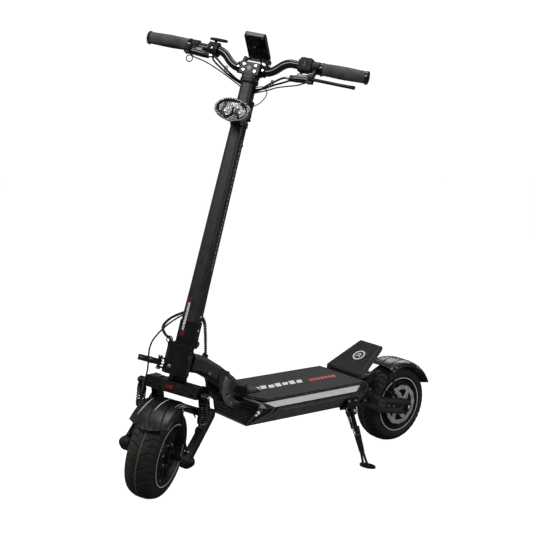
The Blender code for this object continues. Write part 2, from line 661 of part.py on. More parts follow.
def controls(column, look):
    height = BAR_HEIGHT + BAR_RISE
    centre = (0, 0, height)
    pod = node("control_pod", prism(rounded(0.0185, 0.0165, 0.006, (0, height - 0.001)), "x",
                                    0.1285, 0.1640), column, look["matte_plastic"])
    unite(pod, column, box((0.130, -0.010, height), (0.162, 0.014, height + 0.021)))
    cut(pod, column, turned(((0.10, BAR_RADIUS + 0.0009), (0.18, BAR_RADIUS + 0.0009)), "x", centre, 18))
    cut(pod, column, rod((0.146, 0.010, height + 0.004), (0.146, 0.034, height + 0.004), 0.0052, 12))
    node("horn_button", turned(((0.0150, 0.0048), (0.0215, 0.0048), (0.0225, 0.0038)), "y",
                               (0.146, 0, height + 0.004)), column, look["red_plastic"],
         (0.146, 0.0150, height + 0.004))

    housing = node("throttle_housing", turned(((-0.1340, 0.0195), (-0.1080, 0.0195)), "x", centre, 20),
                   column, look["matte_plastic"])
    cut(housing, column, turned(((-0.16, BAR_RADIUS + 0.0009), (-0.05, BAR_RADIUS + 0.0009)), "x",
                                centre, 18))
    cut(housing, column, hoop(tube(-0.1256, -0.1154, 0.0150, 0.0240), "x", centre, 20))
    paddle = node("throttle_paddle", hoop(tube(-0.1250, -0.1160, 0.0154, 0.0192), "x", centre, 20),
                  column, look["matte_plastic"], centre)
    unite(paddle, column, rod((-0.1205, 0.0, height + 0.016), (-0.1205, -0.004, height + 0.026),
                              0.0042, 10))
    plate = [(0.026 * math.cos(math.tau * i / 16) - 0.1120, 0.009 * math.sin(math.tau * i / 16) - 0.004)
             for i in range(16)]
    unite(paddle, column, prism(plate, "z", height + 0.0235, height + 0.0285))


def display(column, look):
    """Colour screen above the clamp, held on both sides by legs that grip the bar."""
    tilt = math.radians(-29)
    holder = frame("display_frame", column, (0, -0.003, 1.1135), (tilt, 0, 0))
    screen = node("display", prism(rounded(0.0300, 0.0490, 0.005), "z", 0.0, 0.0125), holder,
                  look["gloss_black"])
    cut(screen, holder, box((-0.017, -0.030, -0.01), (0.017, -0.024, 0.03)))
    bracket = node("display_bracket", hoop(tube(0.0300, 0.0400, BAR_RADIUS + GAP, 0.0160), "x",
                                           (0, 0, BAR_HEIGHT), 16), column, look["black_alloy"])
    unite(bracket, column, hoop(tube(-0.0400, -0.0300, BAR_RADIUS + GAP, 0.0160), "x",
                                (0, 0, BAR_HEIGHT), 16))
    for sign in (1, -1):
        side = sign * 0.0350
        low, high = min(sign * 0.0310, sign * 0.0390), max(sign * 0.0310, sign * 0.0390)
        leg = [(0.006, BAR_HEIGHT + 0.012), (0.016, BAR_HEIGHT + 0.006), (0.030, 1.0850),
               (0.022, 1.0930)]
        unite(bracket, column, prism(leg, "x", low, high))
    unite(bracket, column, box((-0.039, 0.0200, 1.0845), (0.039, 0.0300, 1.0905)))


def headlight(column, look):
    """Oval lamp with two lenses, on an arm from the front of the stem."""
    centre = Vector((0.004, -0.072, 0.928))
    rings = []
    for depth, size in ((-0.020, 0.93), (-0.016, 1.0), (0.002, 1.0), (0.016, 0.82), (0.024, 0.5)):
        ring = []
        for i in range(24):
            angle = math.tau * i / 24
            ring.append(centre + Vector((0.049 * size * math.cos(angle), depth,
                                         0.0305 * size * math.sin(angle))))
        rings.append(ring)
    lamp = node("headlight", skin(rings), column, look["gloss_black"])
    unite(lamp, column, box((-0.010, -0.052, 0.918), (0.016, -0.0236, 0.936)))
    hollow = []
    for depth, size in ((-0.030, 0.84), (-0.006, 0.80)):
        ring = []
        for i in range(24):
            angle = math.tau * i / 24
            ring.append(centre + Vector((0.049 * size * math.cos(angle), depth,
                                         0.0305 * size * math.sin(angle))))
        hollow.append(ring)
    cut(lamp, column, skin(hollow))


def fold_hook(column, look):
    """Hook that catches the deck when the stem is down, hanging behind the stem."""
    hanger = prism(link(HOOK_AT[1:], 0.0055, (0.0460, 0.862), 0.0040), "x", -0.0030, 0.0030)
    piece = node("fold_hook", hanger, column, look["black_steel"], HOOK_AT)
    unite(piece, column, prism(link((0.0460, 0.862), 0.0040, (0.0620, 0.854), 0.0034), "x",
                               -0.0030, 0.0030))
    cut(piece, column, rod((-0.02, HOOK_AT[1], HOOK_AT[2]), (0.02, HOOK_AT[1], HOOK_AT[2]), 0.0026, 8))


# ---------------------------------------------------------------- rear end
def rear_casting(root, look):
    piece = node("rear_casting", box((-0.089, DECK_REAR + GAP, 0.176), (0.089, 0.250, 0.2445)), root,
                 look["cast_grey"])
    for sign in (1, -1):
        lug = [(0.2445, 0.176), (0.2445, 0.240), (0.262, 0.232), (0.292, 0.202), (0.297, 0.186),
               (0.290, 0.170), (0.274, 0.163), (0.256, 0.168)]
        unite(piece, root, prism(lug, "x", min(sign * 0.0722, sign * 0.089),
                                 max(sign * 0.0722, sign * 0.089)))
        ear = link((0.252, 0.224), 0.0110, (SHOCK_FRONT[1], SHOCK_FRONT[2]), 0.0100)
        unite(piece, root, prism(ear, "x", min(sign * 0.0200, sign * 0.0265),
                                 max(sign * 0.0200, sign * 0.0265)))
    unite(piece, root, rod((-0.024, SHOCK_FRONT[1], SHOCK_FRONT[2]), (0.024, SHOCK_FRONT[1], SHOCK_FRONT[2]),
                           0.0050, 12))
    unite(piece, root, rod((-0.0925, REAR_PIVOT[1], REAR_PIVOT[2]), (0.0925, REAR_PIVOT[1], REAR_PIVOT[2]),
                           0.0070, 14))


def rear_arm(arm, look):
    y, z = REAR_PIVOT[1:]
    piece = node("rear_swing_arm", turned(((-0.0718, 0.0165), (0.0718, 0.0165)), "x", REAR_PIVOT, 20),
                 arm, look["cast_grey"], REAR_PIVOT)
    for sign in (1, -1):
        low, high = min(sign * 0.0575, sign * 0.0718), max(sign * 0.0575, sign * 0.0718)
        knee = (0.345, 0.150)
        unite(piece, arm, prism(link((y, z), 0.0250, knee, 0.0250), "x", low, high))
        unite(piece, arm, prism(link(knee, 0.0250, (AXLE_REAR[1], AXLE_REAR[2]), 0.0240), "x", low, high))
        ear = link((y, z), 0.0150, (SHOCK_REAR[1], SHOCK_REAR[2]), 0.0100)
        unite(piece, arm, prism(ear, "x", min(sign * 0.0200, sign * 0.0265),
                                max(sign * 0.0200, sign * 0.0265)))
    unite(piece, arm, rod((-0.024, SHOCK_REAR[1], SHOCK_REAR[2]), (0.024, SHOCK_REAR[1], SHOCK_REAR[2]),
                          0.0045, 12))
    cut(piece, arm, rod((-0.1, y, z), (0.1, y, z), 0.0074, 14))
    cut(piece, arm, rod((-0.1, AXLE_REAR[1], AXLE_REAR[2]), (0.1, AXLE_REAR[1], AXLE_REAR[2]), 0.0074, 12))
    axle(arm, look, "rear_axle", AXLE_REAR, 0.0850, 0.0721, 0.0120)
    stays = (((0.0530, 0.420, 0.2562), (0.0640, 0.402, 0.200), 0.0042),
             ((0.0640, 0.402, 0.200), (0.0645, 0.402, 0.1655), 0.0042))
    fender(arm, look, "rear_fender", AXLE_REAR, (12, 116), 1, 0.0570, stays)
    piece, low, high = caliper(arm, look, "rear_caliper", (0, 0.408, 0.158), 1)
    cut(piece, arm, turned(((low, 0.0652), (high, 0.0652)), "x", AXLE_REAR, 24))


def rear_shock(root, look):
    front, rear = Vector(SHOCK_FRONT), Vector(SHOCK_REAR)
    piece = node("rear_shock_body", rod(front.lerp(rear, 0.08), front.lerp(rear, 0.45), 0.0110), root,
                 look["black_alloy"], SHOCK_FRONT)
    unite(piece, root, turned(((-0.0115, 0.0105), (0.0115, 0.0105)), "x", SHOCK_FRONT, 16))
    unite(piece, root, rod(front.lerp(rear, 0.17), front.lerp(rear, 0.22), 0.0185, 18))
    cut(piece, root, turned(((-0.03, 0.0054), (0.03, 0.0054)), "x", SHOCK_FRONT))
    cut(piece, root, rod(front.lerp(rear, 0.18), front.lerp(rear, 0.60), 0.0056))
    rod_piece = node("rear_shock_shaft", rod(front.lerp(rear, 0.32), front.lerp(rear, 0.95), 0.0050),
                     root, look["steel"], SHOCK_REAR)
    unite(rod_piece, root, turned(((-0.0115, 0.0105), (0.0115, 0.0105)), "x", SHOCK_REAR, 16))
    unite(rod_piece, root, rod(front.lerp(rear, 0.795), front.lerp(rear, 0.845), 0.0185, 18))
    cut(rod_piece, root, turned(((-0.03, 0.0056), (0.03, 0.0056)), "x", SHOCK_REAR))
    way = (rear - front).normalized()
    side = Vector((1, 0, 0))
    up = way.cross(side)
    rings = []
    for i in range(18):
        angle = math.tau * i / 18
        out = side * math.cos(angle) + up * math.sin(angle)
        ring = [front.lerp(rear, share) + out * radius
                for share, radius in ((0.224, 0.0182), (0.791, 0.0182), (0.791, 0.0134), (0.224, 0.0134))]
        rings.append(ring)
    node("rear_shock_spring", skin(rings, closed=True), root, look["spring_black"], SHOCK_FRONT)


def kickplate(root, look):
    """Foot rest that rises over the rear wheel, with a flat flange underneath."""
    foot = 0.2448                         # on top of the rear casting
    rings = []
    for y, low, high, half in ((0.2425, foot, 0.2620, 0.078), (0.268, 0.2630, 0.2788, 0.0715),
                               (0.352, 0.3165, 0.3320, 0.0490), (0.358, 0.3225, 0.3310, 0.0470)):
        rings.append([(-half, y, low), (half, y, low), (half, y, high - 0.002),
                      (half - 0.003, y, high), (-half + 0.003, y, high), (-half, y, high - 0.002)])
    plate = node("kickplate", skin(rings), root, look["satin_black"])
    flange = [(-0.068, 0.2430), (0.068, 0.2430), (0.060, 0.292), (0.046, 0.318), (0.028, 0.318),
              (0.028, 0.256), (-0.028, 0.256), (-0.028, 0.318), (-0.046, 0.318), (-0.060, 0.292)]
    unite(plate, root, prism(flange, "z", foot, foot + 0.0055))
    for sign in (1, -1):
        web = ((0.246, foot + 0.0002), (0.300, foot + 0.0002), (0.300, 0.284), (0.270, 0.268))
        unite(plate, root, prism(web, "x", min(sign * 0.030, sign * 0.035),
                                 max(sign * 0.030, sign * 0.035)))


# ---------------------------------------------------------------- side stand
def side_stand(root, look, level):
    """Bracket on the deck's lower facet, leg with a flat foot, and the return spring."""
    pivot = Vector(STAND_PIVOT)
    foot = level.inverted() @ Vector((*STAND_FOOT, 0.006))
    length = (foot - pivot).length
    up = (pivot - foot).normalized()
    spin = (Vector((1, 0, 0)) - up * up.x).normalized()
    back = up.cross(spin)
    turn = Matrix((spin, back, up)).transposed()
    stand = frame("stand_axis", root, STAND_PIVOT, tuple(turn.to_euler()))

    bracket = node("kickstand_bracket", box((-0.020, -0.026, 0.0135), (0.020, 0.022, 0.060)), stand,
                   look["black_steel"])
    for sign in (1, -1):
        cheek = link((0.0, 0.020), 0.0140, (0.0, 0.0), 0.0105)
        unite(bracket, stand, prism(cheek, "x", min(sign * 0.0085, sign * 0.0125),
                                    max(sign * 0.0085, sign * 0.0125)))
    unite(bracket, stand, rod((-0.0155, 0, 0), (0.0155, 0, 0), 0.0045, 12),
          rod((0.0160, -0.0215, 0.018), (0.0160, -0.0215, 0.0080), 0.0024, 8))
    beyond = 0.0004
    side = ((DECK_HALF_FLOOR + 0.0003, DECK_FLOOR - beyond), (DECK_HALF_WIDE + 0.0005, DECK_WIDE_Z),
            (DECK_HALF_TOP, DECK_TOP))
    outline = list(side) + [(-x, z) for x, z in side[::-1]]
    cut(bracket, root, prism(outline, "y", 0.05, 0.35))

    leg = node("kickstand_leg", rod((0, 0, 0), (0, 0, -0.32 * length), 0.0068, 12), stand,
               look["black_steel"])
    unite(leg, stand, rod((-0.0082, 0, 0), (0.0082, 0, 0), 0.0105, 16),
          rod((0, 0, -0.28 * length), (0, 0, -0.76 * length), 0.0115, 12, 0.0080))
    for sign in (1, -1):
        unite(leg, stand, rod((0, sign * 0.0035, -0.73 * length), (0, sign * 0.0080, -length), 0.0038, 8))
    unite(leg, stand, rod((0, -0.004, -0.44 * length), (0.0160, -0.010, -0.44 * length), 0.0024, 8))
    cut(leg, stand, rod((-0.03, 0, 0), (0.03, 0, 0), 0.0048, 12))
    pad = level.inverted() @ Vector((*STAND_FOOT, 0.0))
    flat = frame("stand_foot_level", root, tuple(pad), tuple(level.to_3x3().inverted().to_euler()))
    sole = [(0.030 * math.cos(math.tau * i / 16) + 0.010, 0.015 * math.sin(math.tau * i / 16))
            for i in range(16)]
    unite(leg, flat, prism(sole, "z", 0.0, 0.0065))

    spring = node("kickstand_spring", rod((0.0160, -0.0215, 0.0050), (0.0160, -0.0140, -0.050), 0.0042, 10),
                  stand, look["spring_black"], (0, 0, 0))
    unite(spring, stand, rod((0.0160, -0.0146, -0.046), (0.0160, -0.0105, -0.44 * length + 0.0030),
                             0.0012, 8))


# ---------------------------------------------------------------- hoses and looms
def hoses(steered, look):
    """Lines that leave the stem and run down to the fork, the front caliper and the deck."""
    rubber = look["hose_rubber"]
    joint = (-0.0800, -0.0300, 0.2050)
    upper = ((-0.0234, 0.006, 0.366), (-0.0300, 0.006, 0.366), (-0.060, -0.008, 0.333),
             (-0.083, -0.024, 0.290), (-0.0885, -0.030, 0.258), (-0.083, -0.030, 0.222), joint)
    lower = ((-0.0799, -0.0300, 0.2041), (-0.0777, -0.0345, 0.186),
             (-0.0735, -0.050, 0.160), (-0.0665, -0.050, 0.122), (-0.0615, -0.020, 0.090),
             (-0.0545, 0.014, 0.066), (-0.0474, 0.0293, 0.0530), (-0.0472, 0.0295, 0.0468))
    hose("front_brake_hose_upper", upper, 0.0025, steered, rubber, 3.0)
    hose("front_brake_hose_lower", lower, 0.0025, steered, rubber, 3.0)
    side = ((-0.0234, 0.012, 0.373), (-0.0310, 0.012, 0.373), (-0.060, 0.000, 0.350),
            (-0.069, -0.020, 0.325), (-0.052, -0.039, 0.308), (-0.0308, -0.0440, 0.2985),
            (-0.0306, -0.0440, 0.2920))
    hose("loom_side", side, 0.0042, steered, rubber, 1.6)
    meet = (0.0215, 0.0700, 0.3300)
    above = ((0.006, 0.0254, 0.378), (0.0062, 0.0330, 0.378), (0.016, 0.059, 0.356), meet)
    below = ((0.0216, 0.0702, 0.3296), (0.0265, 0.0790, 0.300), (0.0318, 0.0815, 0.276),
             (0.0328, 0.0827, 0.2665))
    hose("loom_rear_upper", above, 0.0045, steered, rubber, 1.6)
    hose("loom_rear_lower", below, 0.0045, steered, rubber, 1.6)


def build():
    clear_scene()
    look = {
        "black_alloy": paint("black_alloy", (0.020, 0.020, 0.022), 0.45, 0.4),
        "satin_black": paint("satin_black", (0.028, 0.028, 0.030), 0.42, 0.2),
        "gloss_black": paint("gloss_black", (0.012, 0.012, 0.013), 0.12),
        "cast_olive": paint("cast_olive", (0.055, 0.056, 0.048), 0.55, 0.3),
        "cast_grey": paint("cast_grey", (0.045, 0.045, 0.048), 0.5, 0.4),
        "hub_black": paint("hub_black", (0.022, 0.022, 0.024), 0.4, 0.5),
        "raw_alloy": paint("raw_alloy", (0.42, 0.42, 0.43), 0.35, 0.9),
        "steel": paint("steel", (0.55, 0.55, 0.56), 0.28, 1.0),
        "black_steel": paint("black_steel", (0.018, 0.018, 0.019), 0.38, 0.6),
        "disc_steel": paint("disc_steel", (0.62, 0.62, 0.63), 0.3, 1.0),
        "spring_black": paint("spring_black", (0.015, 0.015, 0.016), 0.3, 0.4),
        "tyre_rubber": paint("tyre_rubber", (0.022, 0.022, 0.023), 0.85),
        "grip_rubber": paint("grip_rubber", (0.040, 0.040, 0.042), 0.8),
        "hose_rubber": paint("hose_rubber", (0.018, 0.018, 0.019), 0.5),
        "grip_tape": paint("grip_tape", (0.035, 0.035, 0.036), 0.92),
        "matte_plastic": paint("matte_plastic", (0.025, 0.025, 0.027), 0.6),
        "red_plastic": paint("red_plastic", (0.45, 0.02, 0.02), 0.4),
        "light_panel": paint("light_panel", (0.62, 0.62, 0.60), 0.35),
        "battery_wrap": paint("battery_wrap", (0.03, 0.06, 0.20), 0.45),
    }
    pitch, lift = settle()
    root = frame("scooter", None, (*CENTRING, lift), (pitch, LEAN, 0))
    level = (Matrix.Translation((0, 0, lift)) @ Matrix.Rotation(LEAN, 4, "Y")
             @ Matrix.Rotation(pitch, 4, "X"))
    head = tuple(steering_frame().to_translation())
    straight = frame("steering_axis", root, head, (-RAKE, 0, 0))
    deck(root, look)
    neck(root, straight, look)
    rear_casting(root, look)
    kickplate(root, look)

    steered = frame("steered", straight, (0, 0, 0), (0, 0, STEER))
    fork(steered, look)
    front_arm(steered, look)
    fold_base(steered, look)
    for name, sign in (("left", 1), ("right", -1)):
        front_shock(steered, look, name, sign)
    wheel(frame("front_hub", steered, AXLE_FRONT), look, -1, "front")

    stem(steered, look)
    handlebar(steered, look)
    brake_control(steered, look, "right", -1, 0.020)
    brake_control(steered, look, "left", 1, 0.040)
    controls(steered, look)
    display(steered, look)
    headlight(steered, look)
    fold_hook(steered, look)

    rear_arm(root, look)
    rear_shock(root, look)
    wheel(frame("rear_hub", root, AXLE_REAR), look, 1, "rear")
    side_stand(root, look, level)
    hoses(steered, look)


build()
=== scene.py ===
"""Looks of the electric kick scooter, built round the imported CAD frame.

Metres, +Z up, the rider faces -Y and the rider's left is +X. Pieces are drawn in the frame of
the part that they sit on: DECK (deck and rear), STRAIGHT (head tube) or STEERED (fork and stem).
"""
import math

import bmesh
import bpy
from mathutils import Matrix, Vector


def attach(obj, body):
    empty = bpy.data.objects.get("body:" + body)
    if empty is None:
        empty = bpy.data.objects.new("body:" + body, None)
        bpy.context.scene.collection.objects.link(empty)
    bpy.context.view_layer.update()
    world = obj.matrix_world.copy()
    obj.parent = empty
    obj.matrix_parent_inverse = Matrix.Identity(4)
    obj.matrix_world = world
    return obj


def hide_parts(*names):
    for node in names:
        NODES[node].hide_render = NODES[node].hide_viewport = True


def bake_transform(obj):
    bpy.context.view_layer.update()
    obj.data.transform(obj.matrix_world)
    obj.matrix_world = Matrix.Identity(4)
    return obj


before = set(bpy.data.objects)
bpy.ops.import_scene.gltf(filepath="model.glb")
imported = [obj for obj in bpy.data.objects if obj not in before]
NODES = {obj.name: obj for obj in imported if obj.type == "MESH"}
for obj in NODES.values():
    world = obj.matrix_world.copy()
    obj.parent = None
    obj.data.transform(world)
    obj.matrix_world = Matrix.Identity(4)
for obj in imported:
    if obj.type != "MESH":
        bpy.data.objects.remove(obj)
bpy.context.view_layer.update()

# ---------------------------------------------------------------- frames and sizes
LEAN = math.radians(5.0)
PITCH = -0.0021228
RAKE = math.radians(13.5)
STEER = math.radians(32.0)
DECK = (Matrix.Translation((-0.1036, -0.0147, 0.0011774)) @ Matrix.Rotation(LEAN, 4, "Y")
        @ Matrix.Rotation(PITCH, 4, "X"))
STRAIGHT = DECK @ Matrix.Translation((0.0, -0.4345, 0.127)) @ Matrix.Rotation(-RAKE, 4, "X")
STEERED = STRAIGHT @ Matrix.Rotation(STEER, 4, "Z")
FRONT_AXLE = Vector((0.0, -0.0272, -0.0065))
REAR_AXLE = Vector((0.0, 0.4625, 0.127))
FRONT_HUB = STEERED @ Matrix.Translation(FRONT_AXLE)
REAR_HUB = DECK @ Matrix.Translation(REAR_AXLE)
SHOCK_FRONT = Vector((0.0, 0.268, 0.224))
SHOCK_REAR = Vector((0.0, 0.354, 0.234))
FRONT_PIVOT = Vector((0.0, 0.085, 0.110))
REAR_PIVOT = Vector((0.0, 0.275, 0.185))
DECK_TOP = 0.2495
TYRE_RADIUS = 0.127
BAR_HEIGHT = 1.056
BAR_RISE = 0.035
GRIP_HEIGHT = BAR_HEIGHT + BAR_RISE
BAR_RADIUS = 0.0115
LEVER_AT = (-0.0445, -0.050, 0.232)
AXES = {"x": (1, 2, 0), "y": (0, 2, 1), "z": (0, 1, 2)}

STAND_PIVOT = Vector((0.098, 0.190, 0.158))
FLOOR_LEVEL = (Matrix.Translation((0, 0, 0.0011774)) @ Matrix.Rotation(LEAN, 4, "Y")
               @ Matrix.Rotation(PITCH, 4, "X"))
STAND_TOE = FLOOR_LEVEL.inverted() @ Vector((0.178, 0.183, 0.006))
STAND_LENGTH = (STAND_TOE - STAND_PIVOT).length


def stand_frame():
    """The side stand's own frame: +Z up its leg from the toe, origin at its pivot."""
    up = (STAND_PIVOT - STAND_TOE).normalized()
    spin = (Vector((1, 0, 0)) - up * up.x).normalized()
    turn = Matrix((spin, up.cross(spin), up)).transposed().to_4x4()
    return DECK @ Matrix.Translation(STAND_PIVOT) @ turn


STAND = stand_frame()


# ---------------------------------------------------------------- materials
def wire(tree, kind, **values):
    made = tree.nodes.new(kind)
    for key, value in values.items():
        setattr(made, key, value)
    return made


def surface(name, colour, rough, metal=0.0, shift=0.25, mottle=60.0, rough_shift=0.08,
            bump=0.0, bump_scale=900.0, stretch=(1, 1, 1), coat=0.0, sheen=0.0, wave=None,
            specular=0.32):
    """Principled material with mottled colour, uneven roughness and a fine bump.

    wave is (scale, strength, axis): a ribbed bump along one axis.
    """
    made = bpy.data.materials.new(name)
    made.use_nodes = True
    tree = made.node_tree
    link = tree.links.new
    shader = tree.nodes["Principled BSDF"]
    shader.inputs["Metallic"].default_value = metal
    shader.inputs["Coat Weight"].default_value = coat
    shader.inputs["Coat Roughness"].default_value = 0.08
    shader.inputs["Sheen Weight"].default_value = sheen
    shader.inputs["Specular IOR Level"].default_value = specular
    place = wire(tree, "ShaderNodeTexCoord")
    mapping = wire(tree, "ShaderNodeMapping")
    mapping.inputs["Scale"].default_value = stretch
    link(place.outputs["Object"], mapping.inputs["Vector"])
    cloud = wire(tree, "ShaderNodeTexNoise")
    cloud.inputs["Scale"].default_value = mottle
    cloud.inputs["Detail"].default_value = 5.0
    link(mapping.outputs["Vector"], cloud.inputs["Vector"])
    ramp = wire(tree, "ShaderNodeValToRGB")
    low, high = [tuple(max(0.0, c * (1 + s)) for c in colour) for s in (-shift, shift)]
    ramp.color_ramp.elements[0].position = 0.35
    ramp.color_ramp.elements[0].color = (*low, 1.0)
    ramp.color_ramp.elements[1].position = 0.65
    ramp.color_ramp.elements[1].color = (*high, 1.0)
    link(cloud.outputs["Fac"], ramp.inputs["Fac"])
    link(ramp.outputs["Color"], shader.inputs["Base Color"])
    reach = wire(tree, "ShaderNodeMapRange")
    reach.inputs["From Min"].default_value = 0.3
    reach.inputs["From Max"].default_value = 0.7
    reach.inputs["To Min"].default_value = max(0.03, rough - rough_shift)
    reach.inputs["To Max"].default_value = min(1.0, rough + rough_shift)
    link(cloud.outputs["Fac"], reach.inputs["Value"])
    link(reach.outputs["Result"], shader.inputs["Roughness"])
    normal = None
    if bump:
        grain = wire(tree, "ShaderNodeTexNoise")
        grain.inputs["Scale"].default_value = bump_scale
        grain.inputs["Detail"].default_value = 3.0
        link(mapping.outputs["Vector"], grain.inputs["Vector"])
        relief = wire(tree, "ShaderNodeBump")
        relief.inputs["Strength"].default_value = bump
        relief.inputs["Distance"].default_value = 0.0004
        link(grain.outputs["Fac"], relief.inputs["Height"])
        normal = relief
    if wave:
        bands = wire(tree, "ShaderNodeTexWave", wave_type="BANDS", bands_direction=wave[2])
        bands.inputs["Scale"].default_value = wave[0]
        link(place.outputs["Object"], bands.inputs["Vector"])
        relief = wire(tree, "ShaderNodeBump")
        relief.inputs["Strength"].default_value = wave[1]
        relief.inputs["Distance"].default_value = 0.0005
        link(bands.outputs["Fac"], relief.inputs["Height"])
        if normal:
            link(normal.outputs["Normal"], relief.inputs["Normal"])
        normal = relief
    if normal:
        link(normal.outputs["Normal"], shader.inputs["Normal"])
    return made


def glowing(name, colour, rough, strength):
    made = surface(name, colour, rough, shift=0.04, mottle=120)
    shader = made.node_tree.nodes["Principled BSDF"]
    shader.inputs["Emission Color"].default_value = (*colour, 1.0)
    shader.inputs["Emission Strength"].default_value = strength
    return made


def clear(name, colour, rough):
    made = surface(name, colour, rough, shift=0.02, rough_shift=0.02)
    shader = made.node_tree.nodes["Principled BSDF"]
    shader.inputs["Transmission Weight"].default_value = 1.0
    shader.inputs["IOR"].default_value = 1.3
    return made


LOOK = {
    "alloy": surface("black_anodised", (0.0085, 0.0085, 0.009), 0.38, 0.2, bump=0.10, bump_scale=1400),
    "satin": surface("black_powder_coat", (0.0058, 0.0058, 0.0060), 0.44, 0.0, bump=0.16, bump_scale=1600,
                     specular=0.24),
    "stem": surface("stem_coat", (0.0085, 0.0083, 0.0080), 0.42, 0.0, bump=0.10, bump_scale=1500,
                    specular=0.6),
    "gloss": surface("gloss_black", (0.010, 0.010, 0.011), 0.16, 0.0, shift=0.1, rough_shift=0.03,
                     coat=0.5),
    "bar": surface("bar_lacquer", (0.011, 0.011, 0.012), 0.20, 0.15, rough_shift=0.04, coat=0.6,
                   bump=0.02),
    "olive": surface("cast_olive", (0.040, 0.040, 0.035), 0.50, 0.1, bump=0.22, bump_scale=1100,
                     shift=0.18),
    "cast": surface("cast_dark", (0.014, 0.014, 0.015), 0.45, 0.2, bump=0.28, bump_scale=900),
    "fork": surface("fork_black", (0.0022, 0.0022, 0.0024), 0.50, 0.0, bump=0.15, bump_scale=1200,
                    specular=0.10),
    # cast_painted_highlight is a lighter copy of cast_dark: a painted highlight on the raised rims of the
    # swing arms.
    "cast_painted_highlight": surface("cast_painted_highlight", (0.034, 0.034, 0.036), 0.42, 0.3, bump=0.28, bump_scale=900,
                          specular=0.5),
    "hub": surface("hub_cast", (0.019, 0.019, 0.020), 0.46, 0.3, bump=0.22, bump_scale=1000),
    "raw": surface("brushed_alloy", (0.055, 0.055, 0.057), 0.42, 1.0, shift=0.12, bump=0.10,
                   bump_scale=300, stretch=(0.2, 4, 4)),
    "edge": surface("machined_edge", (0.26, 0.26, 0.27), 0.34, 0.9, shift=0.1),
    "chrome": surface("bright_steel", (0.72, 0.72, 0.73), 0.16, 1.0, shift=0.05, rough_shift=0.04),
    "steel": surface("plated_steel", (0.52, 0.52, 0.53), 0.28, 1.0, shift=0.12, bump=0.05),
    "disc": surface("disc_steel", (0.80, 0.80, 0.81), 0.30, 0.75, shift=0.15, bump=0.12,
                    bump_scale=700),
    "black_steel": surface("black_zinc", (0.016, 0.016, 0.017), 0.34, 0.5, bump=0.06),
    "spring": surface("spring_lacquer", (0.014, 0.014, 0.015), 0.26, 0.1, coat=0.4),
    "tyre": surface("tyre_rubber", (0.0150, 0.0150, 0.0158), 0.62, 0.0, shift=0.25, mottle=40,
                    bump=0.25, bump_scale=1300, specular=0.4),
    "stripe": surface("tyre_stripe", (0.16, 0.19, 0.050), 0.7, 0.0, shift=0.35, mottle=150),
    "grip": surface("grip_rubber", (0.105, 0.105, 0.107), 0.72, 0.0, bump=0.5, bump_scale=1500,
                    specular=0.35),
    "rubber": surface("hose_rubber", (0.017, 0.017, 0.018), 0.45, 0.0, bump=0.15),
    "loom": surface("loom_wrap", (0.10, 0.10, 0.104), 0.50, 0.0, shift=0.3, mottle=200, bump=0.2),
    "mat": surface("grip_mat", (0.056, 0.055, 0.053), 0.80, 0.0, shift=0.22, mottle=90, bump=0.6,
                   bump_scale=1700, stretch=(3, 0.6, 1), specular=0.3),
    "plate": surface("kickplate_coat", (0.020, 0.0205, 0.0215), 0.66, 0.0, bump=0.45, bump_scale=1500),
    "plastic": surface("matte_plastic", (0.010, 0.010, 0.0105), 0.55, 0.0, bump=0.2, bump_scale=1300),
    "fender": surface("fender_satin", (0.0085, 0.0085, 0.0098), 0.32, 0.2, shift=0.16, bump=0.10,
                      bump_scale=1200, specular=0.7),
    "silver": surface("silver_line", (0.86, 0.86, 0.87), 0.30, 0.15, shift=0.05),
    "panel": surface("light_panel", (0.92, 0.895, 0.87), 0.34, 0.0, shift=0.03, mottle=30,
                     wave=(160, 0.10, "Y")),
    "facet": surface("deck_facet", (0.120, 0.121, 0.124), 0.46, 0.25, bump=0.2, bump_scale=1400),
    "deck_front": surface("deck_front", (0.0040, 0.0040, 0.0044), 0.55, 0.0, bump=0.3, specular=0.15,
                          wave=(420, 0.5, "DIAGONAL")),
    "white": surface("white_print", (0.78, 0.78, 0.77), 0.5, 0.0, shift=0.04),
    "grey_print": surface("grey_print", (0.30, 0.30, 0.31), 0.5, 0.0, shift=0.06),
    "red": surface("red_print", (0.56, 0.055, 0.035), 0.5, 0.0, shift=0.08),
    "dark_red": surface("red_reflector", (0.20, 0.012, 0.014), 0.30, 0.0, wave=(900, 0.4, "X")),
    "reflector": surface("white_reflector", (0.66, 0.66, 0.66), 0.25, 0.1, shift=0.05,
                         wave=(900, 0.5, "Z")),
    "amber": surface("amber_lamp", (0.62, 0.24, 0.02), 0.20, 0.0, shift=0.1),
    "lamp": glowing("lamp_white", (0.92, 0.92, 0.90), 0.2, 0.35),
    "mirror": surface("lamp_mirror", (0.80, 0.80, 0.82), 0.10, 1.0, shift=0.05, rough_shift=0.03),
    "lens": clear("lamp_lens", (0.95, 0.96, 0.97), 0.04),
    "screen": surface("screen_glass", (0.006, 0.006, 0.008), 0.07, 0.0, shift=0.1, rough_shift=0.02,
                      coat=0.8),
    "brass": surface("brass_valve", (0.70, 0.42, 0.14), 0.30, 0.8, shift=0.1),
    "blue": surface("battery_wrap", (0.02, 0.04, 0.14), 0.40),
    "grey_side": surface("kick_side", (0.10, 0.10, 0.104), 0.45, 0.3, shift=0.12, bump=0.15),
    "strap": surface("cord_grey", (0.42, 0.42, 0.41), 0.8, 0.0, shift=0.2, mottle=300),
}


# ---------------------------------------------------------------- each body's frame
HOME = {"deck": DECK, "rear_suspension": DECK, "rear_damper": DECK, "side_stand": STAND}
HOME.update(dict.fromkeys(("fork_body", "front_suspension", "fold_clamp", "stem", "stem_hook", "throttle",
                           "left_brake", "right_brake"), STEERED))


